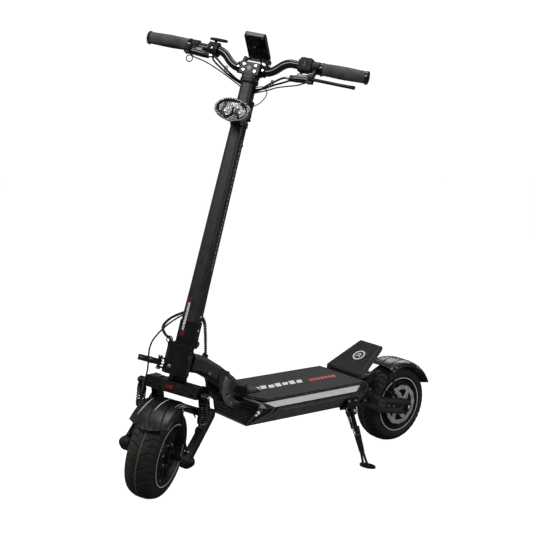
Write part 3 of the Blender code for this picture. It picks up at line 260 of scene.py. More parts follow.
# ---------------------------------------------------------------- shapes
def skin(rings, closed=False):
    """Surface over rings of equal count, closed into a loop or capped at its two ends."""
    shape = bmesh.new()
    rows = [[shape.verts.new(point) for point in ring] for ring in rings]
    count = len(rows[0])
    following = rows[1:] + rows[:1] if closed else rows[1:]
    for one, two in zip(rows, following):
        for i in range(count):
            j = (i + 1) % count
            shape.faces.new((one[i], one[j], two[j], two[i]))
    if not closed:
        shape.faces.new(rows[0][::-1])
        shape.faces.new(rows[-1])
    return shape


def join(*shapes):
    """Several bmeshes as one."""
    whole = bmesh.new()
    for shape in shapes:
        made = bpy.data.meshes.new("part")
        shape.to_mesh(made)
        whole.from_mesh(made)
        bpy.data.meshes.remove(made)
        shape.free()
    return whole


def spot(axis, u, v, along):
    """Point from u and v across an axis and a distance along it."""
    first, second, third = AXES[axis]
    point = [0.0, 0.0, 0.0]
    point[first] = u
    point[second] = v
    point[third] = along
    return point


def prism(outline, axis, low, high):
    return skin([[spot(axis, u, v, level) for u, v in outline] for level in (low, high)])


def box(low, high):
    outline = ((low[0], low[1]), (high[0], low[1]), (high[0], high[1]), (low[0], high[1]))
    return prism(outline, "z", low[2], high[2])


def turned(profile, axis, centre=(0, 0, 0), steps=40):
    """Solid turned round an axis from (along, radius) pairs."""
    rings = []
    for along, radius in profile:
        ring = []
        for i in range(steps):
            angle = math.tau * i / steps
            at = spot(axis, radius * math.cos(angle), radius * math.sin(angle), along)
            ring.append(Vector(at) + Vector(centre))
        rings.append(ring)
    return skin(rings)


def hoop(profile, axis, centre=(0, 0, 0), steps=96):
    """Ring whose section is a closed (along, radius) outline."""
    rings = []
    for i in range(steps):
        angle = math.tau * i / steps
        rings.append([Vector(spot(axis, r * math.cos(angle), r * math.sin(angle), a)) + Vector(centre)
                      for a, r in profile])
    return skin(rings, closed=True)


def band(low, high, inner, outer):
    return ((low, outer), (high, outer), (high, inner), (low, inner))


def sides(way):
    side = way.orthogonal().normalized()
    return side, way.cross(side)


def rod(start, end, radius, steps=24, end_radius=None, cap=0.0):
    """Round bar between two points. cap rounds its ends by that much."""
    start, end = Vector(start), Vector(end)
    way = (end - start).normalized()
    side, other = sides(way)
    last = radius if end_radius is None else end_radius
    stops = [(start, radius), (end, last)]
    if cap:
        stops = [(start, radius - cap), (start + way * cap, radius), (end - way * cap, last),
                 (end, last - cap)]
    rings = []
    for centre, size in stops:
        rings.append([centre + side * math.cos(math.tau * i / steps) * size
                      + other * math.sin(math.tau * i / steps) * size for i in range(steps)])
    return skin(rings)


def link(first, first_radius, second, second_radius, steps=16):
    """Outline round two circles, like a chain link."""
    way = math.atan2(second[1] - first[1], second[0] - first[0])
    apart = math.hypot(second[0] - first[0], second[1] - first[1])
    tilt = math.acos((first_radius - second_radius) / apart)
    outline = []
    for i in range(steps + 1):
        angle = way + tilt + (math.tau - 2 * tilt) * i / steps
        outline.append((first[0] + first_radius * math.cos(angle),
                        first[1] + first_radius * math.sin(angle)))
    for i in range(steps + 1):
        angle = way - tilt + 2 * tilt * i / steps
        outline.append((second[0] + second_radius * math.cos(angle),
                        second[1] + second_radius * math.sin(angle)))
    return outline


def rounded(half_u, half_v, radius, centre=(0, 0), steps=6):
    outline = []
    for sign_u, sign_v, start in ((1, 1, 0), (-1, 1, 90), (-1, -1, 180), (1, -1, 270)):
        for i in range(steps + 1):
            angle = math.radians(start + 90 * i / steps)
            outline.append((centre[0] + sign_u * (half_u - radius) + radius * math.cos(angle),
                            centre[1] + sign_v * (half_v - radius) + radius * math.sin(angle)))
    return outline


def circle(centre, radius, steps=28):
    return [(centre[0] + radius * math.cos(math.tau * i / steps),
             centre[1] + radius * math.sin(math.tau * i / steps)) for i in range(steps)]


def smooth_path(points, spacing):
    """Points along a Catmull-Rom curve through the given ones."""
    ends = [Vector(p) for p in points]
    ends = [ends[0] * 2 - ends[1]] + ends + [ends[-1] * 2 - ends[-2]]
    path = [ends[1]]
    for a, b, c, d in zip(ends, ends[1:], ends[2:], ends[3:]):
        steps = max(1, round((c - b).length / spacing))
        for i in range(1, steps + 1):
            t = i / steps
            path.append(0.5 * (2 * b + (c - a) * t + (2 * a - 5 * b + 4 * c - d) * t ** 2
                               + (3 * b - a - 3 * c + d) * t ** 3))
    return path


def swept(path, radius, steps=12, ripple=None):
    """Round tube along points. ripple is (length, height) of a corrugation."""
    path = [Vector(p) for p in path]
    side = None
    rings = []
    gone = 0.0
    for i, at in enumerate(path):
        before, after = path[max(i - 1, 0)], path[min(i + 1, len(path) - 1)]
        way = (after - before).normalized()
        side = way.orthogonal() if side is None else side - way * side.dot(way)
        side.normalize()
        other = way.cross(side)
        if i:
            gone += (at - path[i - 1]).length
        size = radius(i / (len(path) - 1)) if callable(radius) else radius
        if ripple:
            size += ripple[1] * math.cos(math.tau * gone / ripple[0])
        rings.append([at + side * math.cos(math.tau * j / steps) * size
                      + other * math.sin(math.tau * j / steps) * size for j in range(steps)])
    return skin(rings)


def coil(start, end, radius, wire_radius, turns, steps=20):
    """Spring wire wound between two points, with closed end turns."""
    start, end = Vector(start), Vector(end)
    way = (end - start).normalized()
    side, other = sides(way)
    path = []
    count = int(turns * steps)
    for i in range(count + 1):
        share = i / count
        angle = math.tau * turns * share
        eased = share - 0.35 * math.sin(math.tau * share) / math.tau
        path.append(start.lerp(end, eased) + side * math.cos(angle) * radius
                    + other * math.sin(angle) * radius)
    return swept(path, wire_radius, 10)


def perforated(outlines, thick, bevel=0.0003):
    """Flat plate in the u-v plane, middle at 0: the first outline with the others cut out of it."""
    curve = bpy.data.curves.new("plate", "CURVE")
    curve.dimensions = "2D"
    curve.fill_mode = "BOTH"
    curve.extrude = thick / 2 - bevel
    curve.bevel_depth = bevel
    curve.bevel_resolution = 1
    for outline in outlines:
        line = curve.splines.new("POLY")
        line.points.add(len(outline) - 1)
        line.use_cyclic_u = True
        for knot, (u, v) in zip(line.points, outline):
            knot.co = (u, v, 0.0, 1.0)
    holder = bpy.data.objects.new("plate", curve)
    bpy.context.scene.collection.objects.link(holder)
    bpy.context.view_layer.update()
    mesh = bpy.data.meshes.new_from_object(holder.evaluated_get(bpy.context.evaluated_depsgraph_get()))
    bpy.data.objects.remove(holder)
    bpy.data.curves.remove(curve)
    shape = bmesh.new()
    shape.from_mesh(mesh)
    bmesh.ops.remove_doubles(shape, verts=shape.verts, dist=1e-6)
    bpy.data.meshes.remove(mesh)
    return shape


def across(shape, along):
    """Stands a plate drawn in the u-v plane in the y-z plane, at x = along."""
    shape.transform(Matrix(((0, 0, 1, along), (1, 0, 0, 0), (0, 1, 0, 0), (0, 0, 0, 1))))
    return shape


def placed(shape, at, way=(0, 0, 1)):
    """Moves a shape drawn along +Z so that it stands at a point and faces a way."""
    turn = Vector(way).to_track_quat("Z", "Y").to_matrix().to_4x4()
    shape.transform(Matrix.Translation(at) @ turn)
    return shape


def bolt(at, way, radius=0.004, height=0.0025, socket=True):
    """Button-head screw with a hex socket, standing on a surface."""
    profile = [(0.0, radius), (height * 0.55, radius), (height, radius * 0.72)]
    if socket:
        profile += [(height, radius * 0.50), (height * 0.35, radius * 0.46)]
    return placed(turned(profile, "z", steps=24), at, way)


def nut(at, way, radius=0.006, height=0.005):
    profile = [(0.0, radius), (height * 0.85, radius), (height, radius * 0.9)]
    return placed(turned(profile, "z", steps=6), at, way)


def piece(name, shape, look, body, stands_for=(), place=None, smooth=34, bevel=0.0,
          mix=None):
    """One piece of the visual model: a bmesh drawn in a frame, riding on a body.

    Without a place it is drawn in its body's own frame. mix is (other body, start, end) in that frame;
    one with a mix has its transform baked in and is not attached to a body.
    one. mix is (other body, start, end) in that frame, where the piece bends between two bodies.
    """
    place = HOME[body] if place is None else place
    bmesh.ops.recalc_face_normals(shape, faces=shape.faces)
    mesh = bpy.data.meshes.new(name)
    shape.to_mesh(mesh)
    shape.free()
    mesh.shade_smooth()
    mesh.set_sharp_from_angle(angle=math.radians(smooth))
    made = bpy.data.objects.new(name, mesh)
    bpy.context.scene.collection.objects.link(made)
    made.data.materials.append(LOOK[look])
    mesh.transform(place)
    if mix:
        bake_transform(made)
    else:
        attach(made, body)
    if bevel:
        soften(made, bevel)
    if stands_for:
        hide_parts(*stands_for)
    return made


def soften(made, width, segments=3, angle=30):
    step = made.modifiers.new("edges", "BEVEL")
    step.width = width
    step.segments = segments
    step.limit_method = "ANGLE"
    step.angle_limit = math.radians(angle)
    step.harden_normals = True
    step.use_clamp_overlap = True


def dress(name, look, width, segments, angle):
    """A CAD node keeps its shape, and gets its material and soft edges."""
    made = NODES[name]
    made.data.materials.clear()
    made.data.materials.append(LOOK[look])
    soften(made, width, segments, angle)


def line_between(name, points, radius, place, look, body, stands_for=(), mix=None,
                 ripple=None, spacing=0.002, steps=12):
    """A hose or cable from its first point to its last."""
    path = smooth_path(points, spacing)
    made = piece(name, swept(path, radius, steps, ripple), look, body, stands_for=stands_for,
                 place=place, mix=mix, smooth=60)


# ---------------------------------------------------------------- studio
def to_camera(tree, unseen, seen, output):
    """One shader for the camera's own rays, and another for all the others."""
    path = wire(tree, "ShaderNodeLightPath")
    mixed = wire(tree, "ShaderNodeMixShader")
    tree.links.new(path.outputs["Is Camera Ray"], mixed.inputs[0])
    tree.links.new(unseen.outputs[0], mixed.inputs[1])
    tree.links.new(seen.outputs[0], mixed.inputs[2])
    tree.links.new(mixed.outputs[0], tree.nodes[output].inputs["Surface"])


FLOOR_HALF = 40  # half of the studio floor's side
LAMP_AIM = Vector((0.0, 0.0, 0.5))
CAMERA_AT, CAMERA_AIM = Vector((2.2646, -2.0414, 0.9170)), Vector((-0.1166, -0.0552, 0.5972))


def studio():
    """White floor and sky, five area lamps, and the camera."""
    world = bpy.data.worlds.new("studio")
    world.use_nodes = True
    tree = world.node_tree
    back = tree.nodes["Background"]
    back.inputs["Color"].default_value = (0.95, 0.97, 1.0, 1.0)
    back.inputs["Strength"].default_value = 0.14
    bright = wire(tree, "ShaderNodeBackground")
    bright.inputs["Color"].default_value = (1.0, 1.0, 1.0, 1.0)
    bright.inputs["Strength"].default_value = 1.05
    to_camera(tree, back, bright, "World Output")
    bpy.context.scene.world = world

    pale = bpy.data.materials.new("studio_floor")
    pale.use_nodes = True
    tree = pale.node_tree
    dim = tree.nodes["Principled BSDF"]
    dim.inputs["Base Color"].default_value = (0.16, 0.16, 0.16, 1.0)
    dim.inputs["Roughness"].default_value = 0.8
    dim.inputs["Specular IOR Level"].default_value = 0.1
    seen = wire(tree, "ShaderNodeBsdfPrincipled")
    seen.inputs["Base Color"].default_value = (0.25, 0.25, 0.25, 1.0)
    seen.inputs["Roughness"].default_value = 0.9
    seen.inputs["Specular IOR Level"].default_value = 0.0
    seen.inputs["Emission Color"].default_value = (1.0, 1.0, 1.0, 1.0)
    seen.inputs["Emission Strength"].default_value = 0.97
    to_camera(tree, dim, seen, "Material Output")
    mesh = bpy.data.meshes.new("floor")
    corners = [(u * FLOOR_HALF, v * FLOOR_HALF, 0) for u, v in ((-1, -1), (1, -1), (1, 1), (-1, 1))]
    mesh.from_pydata(corners, [], [(0, 1, 2, 3)])
    floor = bpy.data.objects.new("floor", mesh)
    floor.location.z = -0.0005
    mesh.materials.append(pale)
    bpy.context.scene.collection.objects.link(floor)

    lamps = (("key", (1.2, -3.0, 2.8), 1.6, 1.0, 46), ("side", (3.4, 1.4, 1.5), 1.2, 1.8, 34),
             ("left", (-2.6, -2.4, 1.6), 0.8, 2.2, 30), ("back", (-1.8, 3.0, 2.4), 2.0, 1.0, 34),
             ("top", (0.2, 0.2, 3.2), 1.4, 1.8, 30))
    for name, place, wide, high, power in lamps:
        data = bpy.data.lights.new(name, "AREA")
        data.shape = "RECTANGLE"
        data.size = wide
        data.size_y = high
        data.energy = power
        lamp = bpy.data.objects.new(name, data)
        lamp.location = place
        aim = LAMP_AIM - Vector(place)
        lamp.rotation_euler = aim.to_track_quat("-Z", "Y").to_euler()
        bpy.context.scene.collection.objects.link(lamp)
    bpy.context.scene.view_settings.view_transform = "Standard"

    data = bpy.data.cameras.new("camera")
    data.sensor_width = 36.0
    data.lens = 71.97
    data.dof.use_dof = False
    camera = bpy.data.objects.new("camera", data)
    camera.location = CAMERA_AT
    camera.rotation_euler = (CAMERA_AIM - CAMERA_AT).to_track_quat("-Z", "Y").to_euler()
    bpy.context.scene.collection.objects.link(camera)
    bpy.context.scene.camera = camera


# ---------------------------------------------------------------- wheels
TYRE_LINE = [(0.0, 0.12700), (0.0080, 0.12670), (0.0160, 0.12580), (0.0295, 0.12050),
             (0.0380, 0.11250), (0.0410, 0.10000), (0.0370, 0.08800)]


def tyre_half(count):
    """Points (along, radius, distance from the crown) over half of a tyre, crown to bead."""
    path = smooth_path([(a, r, 0) for a, r in TYRE_LINE], 0.0008)
    gone = [0.0]
    for a, b in zip(path, path[1:]):
        gone.append(gone[-1] + (b - a).length)
    points = []
    at = 0
    for i in range(count + 1):
        wanted = gone[-1] * i / count
        while at < len(gone) - 2 and gone[at + 1] < wanted:
            at += 1
        share = (wanted - gone[at]) / (gone[at + 1] - gone[at])
        point = path[at].lerp(path[at + 1], min(1.0, share))
        points.append((point.x, point.y, wanted))
    return points


def step(value, edge, soft):
    """1 inside an edge and 0 outside it, with a soft slope between."""
    share = min(1.0, max(0.0, (edge + soft - value) / (2 * soft)))
    return share * share * (3 - 2 * share)


SLANT = 0.62  # of the tread's long grooves, distance round for distance out
TREAD_PITCH = math.tau * TYRE_RADIUS / 20
# Each groove's place in the pitch, start and end out from the crown, half width, depth and slant.
GROOVES = ((0.0, 0.0030, 0.0300, 0.0017, 0.0030, SLANT), (0.5, 0.0150, 0.0330, 0.0011, 0.0024, SLANT),
           (0.25, 0.0085, 0.0140, 0.0009, 0.0018, -0.9), (0.20, 0.0300, 0.0480, 0.0016, 0.0030, 0.10),
           (0.70, 0.0320, 0.0480, 0.0016, 0.0030, 0.10), (0.45, 0.0390, 0.0500, 0.0008, 0.0018, 0.10))


def groove_depth(around, out, side):
    """How deep the tread is cut at a place on it, in metres."""
    lean = math.cos(math.atan(SLANT))
    depth = 0.0
    shift = 0.0 if side > 0 else 0.5 * TREAD_PITCH
    for offset, start, end, width, deep, tilt in GROOVES:
        where = (around + shift + tilt * out - offset * TREAD_PITCH) / TREAD_PITCH
        away = abs(where - round(where)) * TREAD_PITCH * (lean if tilt == SLANT else 1.0)
        along = step(abs(out - (start + end) / 2), (end - start) / 2, 0.0012)
        depth = max(depth, deep * step(away, width, 0.0006) * along)
    depth = max(depth, 0.0010 * step(out, 0.0019, 0.0006))
    depth = max(depth, 0.0008 * step(abs(out - 0.0520), 0.0008, 0.0005))
    return depth


ROUNDS, ACROSS = 860, 50  # steps round a tyre and from its crown to its bead


def tyre(name, hub, body, node_name):
    """Carcass with its tread cut in, a coloured line round the crown, and bead lines."""
    half = tyre_half(ACROSS)
    line = [(-a, r, -d) for a, r, d in half[:0:-1]] + half
    normals = []
    for i, (a, r, _) in enumerate(line):
        before, after = line[max(i - 1, 0)], line[min(i + 1, len(line) - 1)]
        along = Vector((after[0] - before[0], after[1] - before[1]))
        normals.append(Vector((-along.y, along.x)).normalized())
    inner = [(0.0325, 0.0880), (0.0340, 0.1020), (0.0220, 0.1150), (0.0, 0.1180),
             (-0.0220, 0.1150), (-0.0340, 0.1020), (-0.0325, 0.0880)]
    rings = []
    for j in range(ROUNDS):
        angle = math.tau * j / ROUNDS
        around = TYRE_RADIUS * angle
        ring = []
        for (a, r, d), normal in zip(line, normals):
            cut = groove_depth(around, abs(d), 1 if d >= 0 else -1)
            at = Vector((a, r)) - normal * cut
            ring.append((at.x, at.y * math.cos(angle), at.y * math.sin(angle)))
        ring += [(a, r * math.cos(angle), r * math.sin(angle)) for a, r in inner]
        rings.append(ring)
    piece(name, skin(rings, closed=True), "tyre", body, stands_for=(node_name,), place=hub, smooth=50)
    stripe = band(-0.0011, 0.0011, 0.1262, 0.12655)
    piece(f"{name}_stripe", hoop(stripe, "x", steps=240), "stripe", body, place=hub)
    beads = []
    for side in (1, -1):
        for radius, along, size in ((0.0925, 0.0392, 0.0006), (0.0960, 0.0401, 0.0005)):
            ring = [(side * (along + size * math.cos(t)), radius + size * math.sin(t))
                    for t in (0.0, 1.57, 3.14, 4.71)]
            beads.append(hoop(ring, "x", steps=160))
    piece(f"{name}_bead_lines", join(*beads), "tyre", body, place=hub)


def wheel(name, hub, body, disc_side):
    """Rim and motor covers, pinstripes, ribs, bolts, disc and valve, about the x axis."""
    edge = [(0.0400, 0.0876), (0.0400, 0.0858), (0.0376, 0.0846), (0.0362, 0.0836), (0.0330, 0.0800),
            (0.0290, 0.0768), (0.0262, 0.0750), (0.0256, 0.0728), (0.0262, 0.0700), (0.0262, 0.0450),
            (0.0280, 0.0420), (0.0312, 0.0395), (0.0320, 0.0375), (0.0320, 0.0240), (0.0330, 0.0228),
            (0.0436, 0.0215), (0.0445, 0.0205), (0.0445, 0.0088)]
    profile = [(-a, r) for a, r in edge[::-1]] + edge
    piece(f"{name}_hub", hoop(profile, "x", steps=144), "hub", body, stands_for=(f"{name}_hub_motor",),
          place=hub, smooth=28)
    stripes, ribs, heads, dots = [], [], [], []
    for side in (1, -1):
        ring = [(side * a, r) for a, r in ((0.0396, 0.0876), (0.0408, 0.0876), (0.0408, 0.0850),
                                           (0.0396, 0.0850))]
        stripes.append(hoop(ring, "x", steps=144))
        for i in range(12):
            angle = math.tau * i / 12
            turn = Matrix.Rotation(angle, 4, "X")
            rib = skin([[(side * 0.0255, -w, r), (side * 0.0255, w, r), (side * h, w * 0.5, r),
                         (side * h, -w * 0.5, r)]
                        for r, w, h in ((0.0385, 0.0038, 0.0308), (0.0560, 0.0024, 0.0296),
                                        (0.0765, 0.0034, 0.0292))])
            rib.transform(turn)
            ribs.append(rib)
        for screws, count, first, depth, radius, size, tall in (
                (heads, 8, 0.5, 0.0262, 0.0665, 0.0032, 0.0020),
                (dots, 6, 0, 0.0320, 0.0310, 0.0030, 0.0022)):
            for i in range(count):
                angle = math.tau * (i + first) / count
                at = (side * depth, radius * math.cos(angle), radius * math.sin(angle))
                screws.append(bolt(at, (side, 0, 0), size, tall))
    piece(f"{name}_pinstripes", join(*stripes), "silver", body, place=hub)
    piece(f"{name}_hub_ribs", join(*ribs), "hub", body, place=hub, bevel=0.0007)
    piece(f"{name}_hub_screws", join(*heads), "black_steel", body, place=hub)
    piece(f"{name}_flange_screws", join(*dots), "steel", body, place=hub)
    brake_disc(name, hub, body, disc_side)
    valve_side = -disc_side
    stem_path = [(valve_side * 0.0120, 0, -0.0800), (valve_side * 0.0210, 0, -0.0755),
                 (valve_side * 0.0290, 0, -0.0718), (valve_side * 0.0360, 0, -0.0700)]
    lean = Matrix.Rotation(math.radians(-14 if name == "front" else 40), 4, "X")
    brass = swept(smooth_path(stem_path, 0.001), 0.0030, 16)
    piece(f"{name}_valve", brass, "brass", body, place=hub @ lean)
    cap = swept(smooth_path(stem_path[2:], 0.001), 0.0039, 16)
    piece(f"{name}_valve_cap", cap, "brass", body, place=hub @ lean, bevel=0.0004)


def brake_disc(name, hub, body, side):
    """Rotor with a drilled band and swept arms."""
    middle = side * 0.0457
    outline = []
    for i in range(144):
        angle = math.tau * i / 144
        radius = 0.0636 + 0.0009 * math.cos(12 * angle)
        outline.append((radius * math.cos(angle), radius * math.sin(angle)))
    holes = [circle((0, 0), 0.0098, 40)]
    for i in range(36):
        angle = math.tau * i / 36
        radius = (0.0605, 0.0578, 0.0551)[i % 3]
        holes.append(circle((radius * math.cos(angle), radius * math.sin(angle)), 0.0016, 12))
    for i in range(6):
        start = math.tau * i / 6
        window = [(0.0510, start + 0.10 + 0.76 * k / 12) for k in range(13)]
        window += [(0.0510 - 0.0255 * k / 8, start + 0.86 - 0.52 * k / 8) for k in range(9)]
        window += [(0.0255, start + 0.34 - 0.24 * k / 6) for k in range(7)]
        window += [(0.0255 + 0.0255 * k / 8, start + 0.10 - 0.36 * k / 8 * (1 - k / 8)) for k in range(9)]
        holes.append([(r * math.cos(t), r * math.sin(t)) for r, t in window[:-1]])
    seats = [math.tau * (i + 0.5) / 6 for i in range(6)]
    holes += [circle((0.0180 * math.cos(t), 0.0180 * math.sin(t)), 0.0022, 14) for t in seats]
    rotor = across(perforated([outline] + holes, 0.0018, 0.0002), middle)
    piece(f"{name}_disc", rotor, "disc", body, stands_for=(f"{name}_brake_disc",), place=hub)
    heads = [bolt((middle + side * 0.0009, 0.0180 * math.cos(t), 0.0180 * math.sin(t)), (side, 0, 0),
                  0.0034, 0.0018) for t in seats]
    piece(f"{name}_disc_bolts", join(*heads), "black_steel", body, place=hub)


# ---------------------------------------------------------------- fenders
ARC_LENGTH = 0.23  # a fender's length along its arc
GUARD_SWEEP = 1.35  # half of the angle that a fender's section turns through, in radians
GUARD_THICK = 0.0026


class Guard:
    """Surface of a fender: place(share, across) gives a point, share from tip to back end."""

    def __init__(self, centre, arc, forward, half, reach):
        self.centre, self.arc, self.forward, self.half, self.reach = centre, arc, forward, half, reach

    def place(self, share, across_share, lift=0.0):
        x = self.half * math.sin(across_share * GUARD_SWEEP) / math.sin(GUARD_SWEEP)
        radius = self.reach - 0.0145 * abs(across_share) ** 3
        lip = 9.0 * (x / self.half) ** 2 * (1 - share)
        angle = math.radians(self.arc[0] + lip + (self.arc[1] - self.arc[0] - lip) * share)
        for seam_at, bow, width, deep in SEAMS:
            seam = seam_at + bow * (share - 0.5) ** 2
            radius -= deep * step(abs(across_share - seam), width, 0.008)
        radius += lift
        x += lift * math.sin(across_share * GUARD_SWEEP) * 0.9
        return Vector((self.centre[0] + x, self.centre[1] + self.forward * radius * math.cos(angle),
                       self.centre[2] + radius * math.sin(angle)))

    def shell(self, rows=90, columns=120):
        across = [-1 + 2 * i / columns for i in range(columns + 1)]
        return skin([[self.place(j / rows, a) for a in across]
                     + [self.place(j / rows, a, -GUARD_THICK) for a in across[::-1]]
                     for j in range(rows + 1)])

    def streak(self, points, width, lift=0.0006):
        """Tapered ribbon on the surface through (share, across) points."""
        path = smooth_path([(s, a, 0) for s, a in points], 0.02)
        rings = []
        for i, at in enumerate(path):
            way = (path[min(i + 1, len(path) - 1)] - path[max(i - 1, 0)])
            way = Vector((way.x * ARC_LENGTH, way.y * self.half)).normalized()
            taper = width * max(0.06, math.sin(math.pi * (0.04 + 0.92 * i / (len(path) - 1))) ** 0.6)
            side_s, side_a = -way.y * taper / ARC_LENGTH, way.x * taper / self.half
            ring = []
            for sign, up in ((-1, 0.0), (1, 0.0), (1, lift), (-1, lift)):
                ring.append(self.place(at.x + sign * side_s / 2, at.y + sign * side_a / 2, up))
            rings.append(ring)
        return skin(rings)


SEAMS = ((-0.62, 0.5, 0.016, 0.0018), (-0.16, 0.7, 0.018, 0.0022), (0.30, 0.9, 0.018, 0.0022),
         (0.70, 0.5, 0.016, 0.0018))
FRONT_GUARD = Guard(FRONT_AXLE, (30, 128), -1, 0.0585, 0.1465)
REAR_GUARD = Guard(REAR_AXLE, (19, 116), 1, 0.0570, 0.1435)


def fenders():
    for name, guard, place, body, stays in (
            ("front", FRONT_GUARD, STEERED, "front_suspension",
             ((0.0555, -0.062, 0.1241), (0.0720, -0.050, 0.060), (0.0850, -0.0350, 0.0190))),
            ("rear", REAR_GUARD, DECK, "rear_suspension",
             ((0.0530, 0.420, 0.2562), (0.0640, 0.402, 0.200), (0.0645, 0.402, 0.1655)))):
        piece(f"{name}_guard", guard.shell(), "fender", body, stands_for=(f"{name}_fender",), place=place,
              smooth=40)
        arms, ends = [], []
        for sign in (1, -1):
            start, middle, end = [Vector((sign * p[0], p[1], p[2])) for p in stays]
            arms.append(swept(smooth_path((start, middle, end), 0.004), 0.0040, 14))
            arms.append(rod(end - Vector((sign * 0.003, 0, 0)), end + Vector((sign * 0.004, 0, 0)), 0.0075))
            ends.append(bolt(end + Vector((sign * 0.004, 0, 0)), (sign, 0, 0), 0.0042, 0.0026))
            ends.append(bolt(start + Vector((sign * 0.0035, 0, 0.001)), (sign, 0, 0.3), 0.0036, 0.0022))
        piece(f"{name}_guard_stays", join(*arms), "black_steel", body, place=place)
        piece(f"{name}_guard_bolts", join(*ends), "steel", body, place=place)
    marks = [FRONT_GUARD.streak(points, width) for points, width in (
        (((0.12, -0.50), (0.30, -0.44), (0.47, -0.42)), 0.0018),
        (((0.26, -0.02), (0.42, 0.02), (0.60, 0.06)), 0.0018),
        (((0.62, 0.20), (0.74, 0.34), (0.86, 0.44)), 0.0016),
        (((0.40, 0.52), (0.58, 0.56), (0.74, 0.62)), 0.0015),
        (((0.42, 0.66), (0.58, 0.69), (0.72, 0.74)), 0.0013),
        (((0.44, 0.79), (0.58, 0.81), (0.70, 0.85)), 0.0012))]
    piece("front_guard_streaks", join(*marks), "silver", "front_suspension")
    marks = [REAR_GUARD.streak(points, width) for points, width in (
        (((0.50, 0.30), (0.62, 0.42), (0.74, 0.55)), 0.0020),
        (((0.50, 0.56), (0.60, 0.66), (0.70, 0.76)), 0.0016),
        (((0.36, 0.62), (0.44, 0.70), (0.52, 0.80)), 0.0016),
        (((0.50, -0.30), (0.62, -0.42), (0.74, -0.55)), 0.0030),
        (((0.50, -0.56), (0.60, -0.66), (0.70, -0.76)), 0.0022))]
    piece("rear_guard_streaks", join(*marks), "silver", "rear_suspension")
    dashes = []
    for sign in (1, -1):
        for k, wide in enumerate((0.0042, 0.0016, 0.0016, 0.0016)):
            share = 0.44 - 0.045 * k
            dashes.append(REAR_GUARD.streak(((share, sign * 0.84), (share - 0.004, sign * 0.95)), wide))
    piece("rear_guard_dashes", join(*dashes), "white", "rear_suspension")
    lamp = []
    for lift, grow in ((-0.001, 0.0), (0.0035, 0.10), (0.0050, 0.30)):
        ring = []
        for i in range(24):
            angle = math.tau * i / 24
            share = 0.085 + 0.050 * (1 - grow) * math.cos(angle)
            ring.append(REAR_GUARD.place(share, 0.42 * (1 - grow) * math.sin(angle), lift))
        lamp.append(ring)
    piece("tail_lamp", skin(lamp), "dark_red", "rear_suspension")


# ---------------------------------------------------------------- deck, neck, kick plate
LOW_EDGE = Vector((0.073, 0, 0.171))
WIDE_EDGE = Vector((0.110, 0, 0.226))
TOP_EDGE = Vector((0.106, 0, 0.2432))


def on_side(facet, share, y, lift, sign=1):
    """Point on the deck's lower (0) or upper (1) side facet, share up it."""
    low, high = ((LOW_EDGE, WIDE_EDGE), (WIDE_EDGE, TOP_EDGE))[facet]
    up = (high - low).normalized()
    out = Vector((up.z, 0, -up.x))
    at = low.lerp(high, share) + out * lift
    return Vector((sign * at.x, y, at.z))


def side_plate(facet, outline, low, high, sign=1):
    return skin([[on_side(facet, t, y, lift, sign) for y, t in outline] for lift in (low, high)])


def deck():
    ribs = []
    for i in range(56):
        x = -0.0990 + 0.0036 * i
        if x > 0.0990:
            break
        front = -0.149 - 0.0225 * max(0.0, min(1.0, (0.0985 - abs(x)) / 0.050))
        if abs(x) < 0.0355:
            front = -0.1165
        ribs.append(skin([[(x - w, y, DECK_TOP - 0.0001), (x + w, y, DECK_TOP - 0.0001),
                           (x + w * 0.5, y, DECK_TOP + 0.0006), (x - w * 0.5, y, DECK_TOP + 0.0006)]
                          for y, w in ((front, 0.0011), (0.2330, 0.0011))]))
    piece("mat_ribs", join(*ribs), "mat", "deck")
    bars = []
    for k in range(7):
        y = -0.1140 + 0.0272 * k
        bars.append(slanted_bar(y, 0.0205, -0.0060 - 0.0045 * (k % 2), 0.0180 - 0.0030 * (k % 3 == 1), 0.014))
    piece("mat_marks_white", join(*bars), "white", "deck")
    bars = []
    for k in range(7):
        y = 0.093 + 0.0157 * k
        bars.append(slanted_bar(y, 0.0110, 0.0005, 0.0205, 0.007))
    piece("mat_marks_red", join(*bars), "red", "deck")
    deck_front()
    for sign, side in ((1, "left"), (-1, "right")):
        deck_side(sign, side)


def slanted_bar(y, long, low, high, shear):
    """Flat printed bar on the mat, slanted along the deck."""
    outline = [(low, y), (low, y + long), (high, y + long - shear), (high, y - shear)]
    height = DECK_TOP + 0.0006
    return prism(outline, "z", height - 0.0003, height + 0.0003)


def deck_front():
    """Ribbed dark nose panel with its screws."""
    def at(x, z, lift):
        return (x, -0.200 + 0.25 * (z - 0.171) - lift, z)

    def half(z):
        return (0.0735 + (z - 0.171) * 0.655 if z < 0.226 else 0.1093 - (z - 0.226) * 0.23) - 0.004
    outline = [(half(z), z) for z in (0.175, 0.226, 0.2395)]
    outline += [(-x, z) for x, z in outline[::-1]]
    panel = skin([[at(x, z, lift) for x, z in outline] for lift in (-0.001, 0.0012)])
    piece("nose_panel", panel, "deck_front", "deck", bevel=0.0005)
    slats = []
    for k in range(7):
        z = 0.1795 + 0.0085 * k
        wide = half(z) - 0.012
        slats.append(skin([[at(x, z - 0.0016, 0.0010), at(x, z + 0.0016, 0.0010),
                            at(x, z + 0.0009, 0.0024), at(x, z - 0.0009, 0.0024)]
                           for x in (-wide, wide)]))
    piece("nose_slats", join(*slats), "plastic", "deck")
    heads = [bolt(at(sign * x, z, 0.0012), (0, -1, 0.25), 0.0032, 0.0020)
             for sign in (1, -1) for x, z in ((0.0900, 0.2345), (0.0715, 0.1790))]
    piece("nose_screws", join(*heads), "black_steel", "deck")


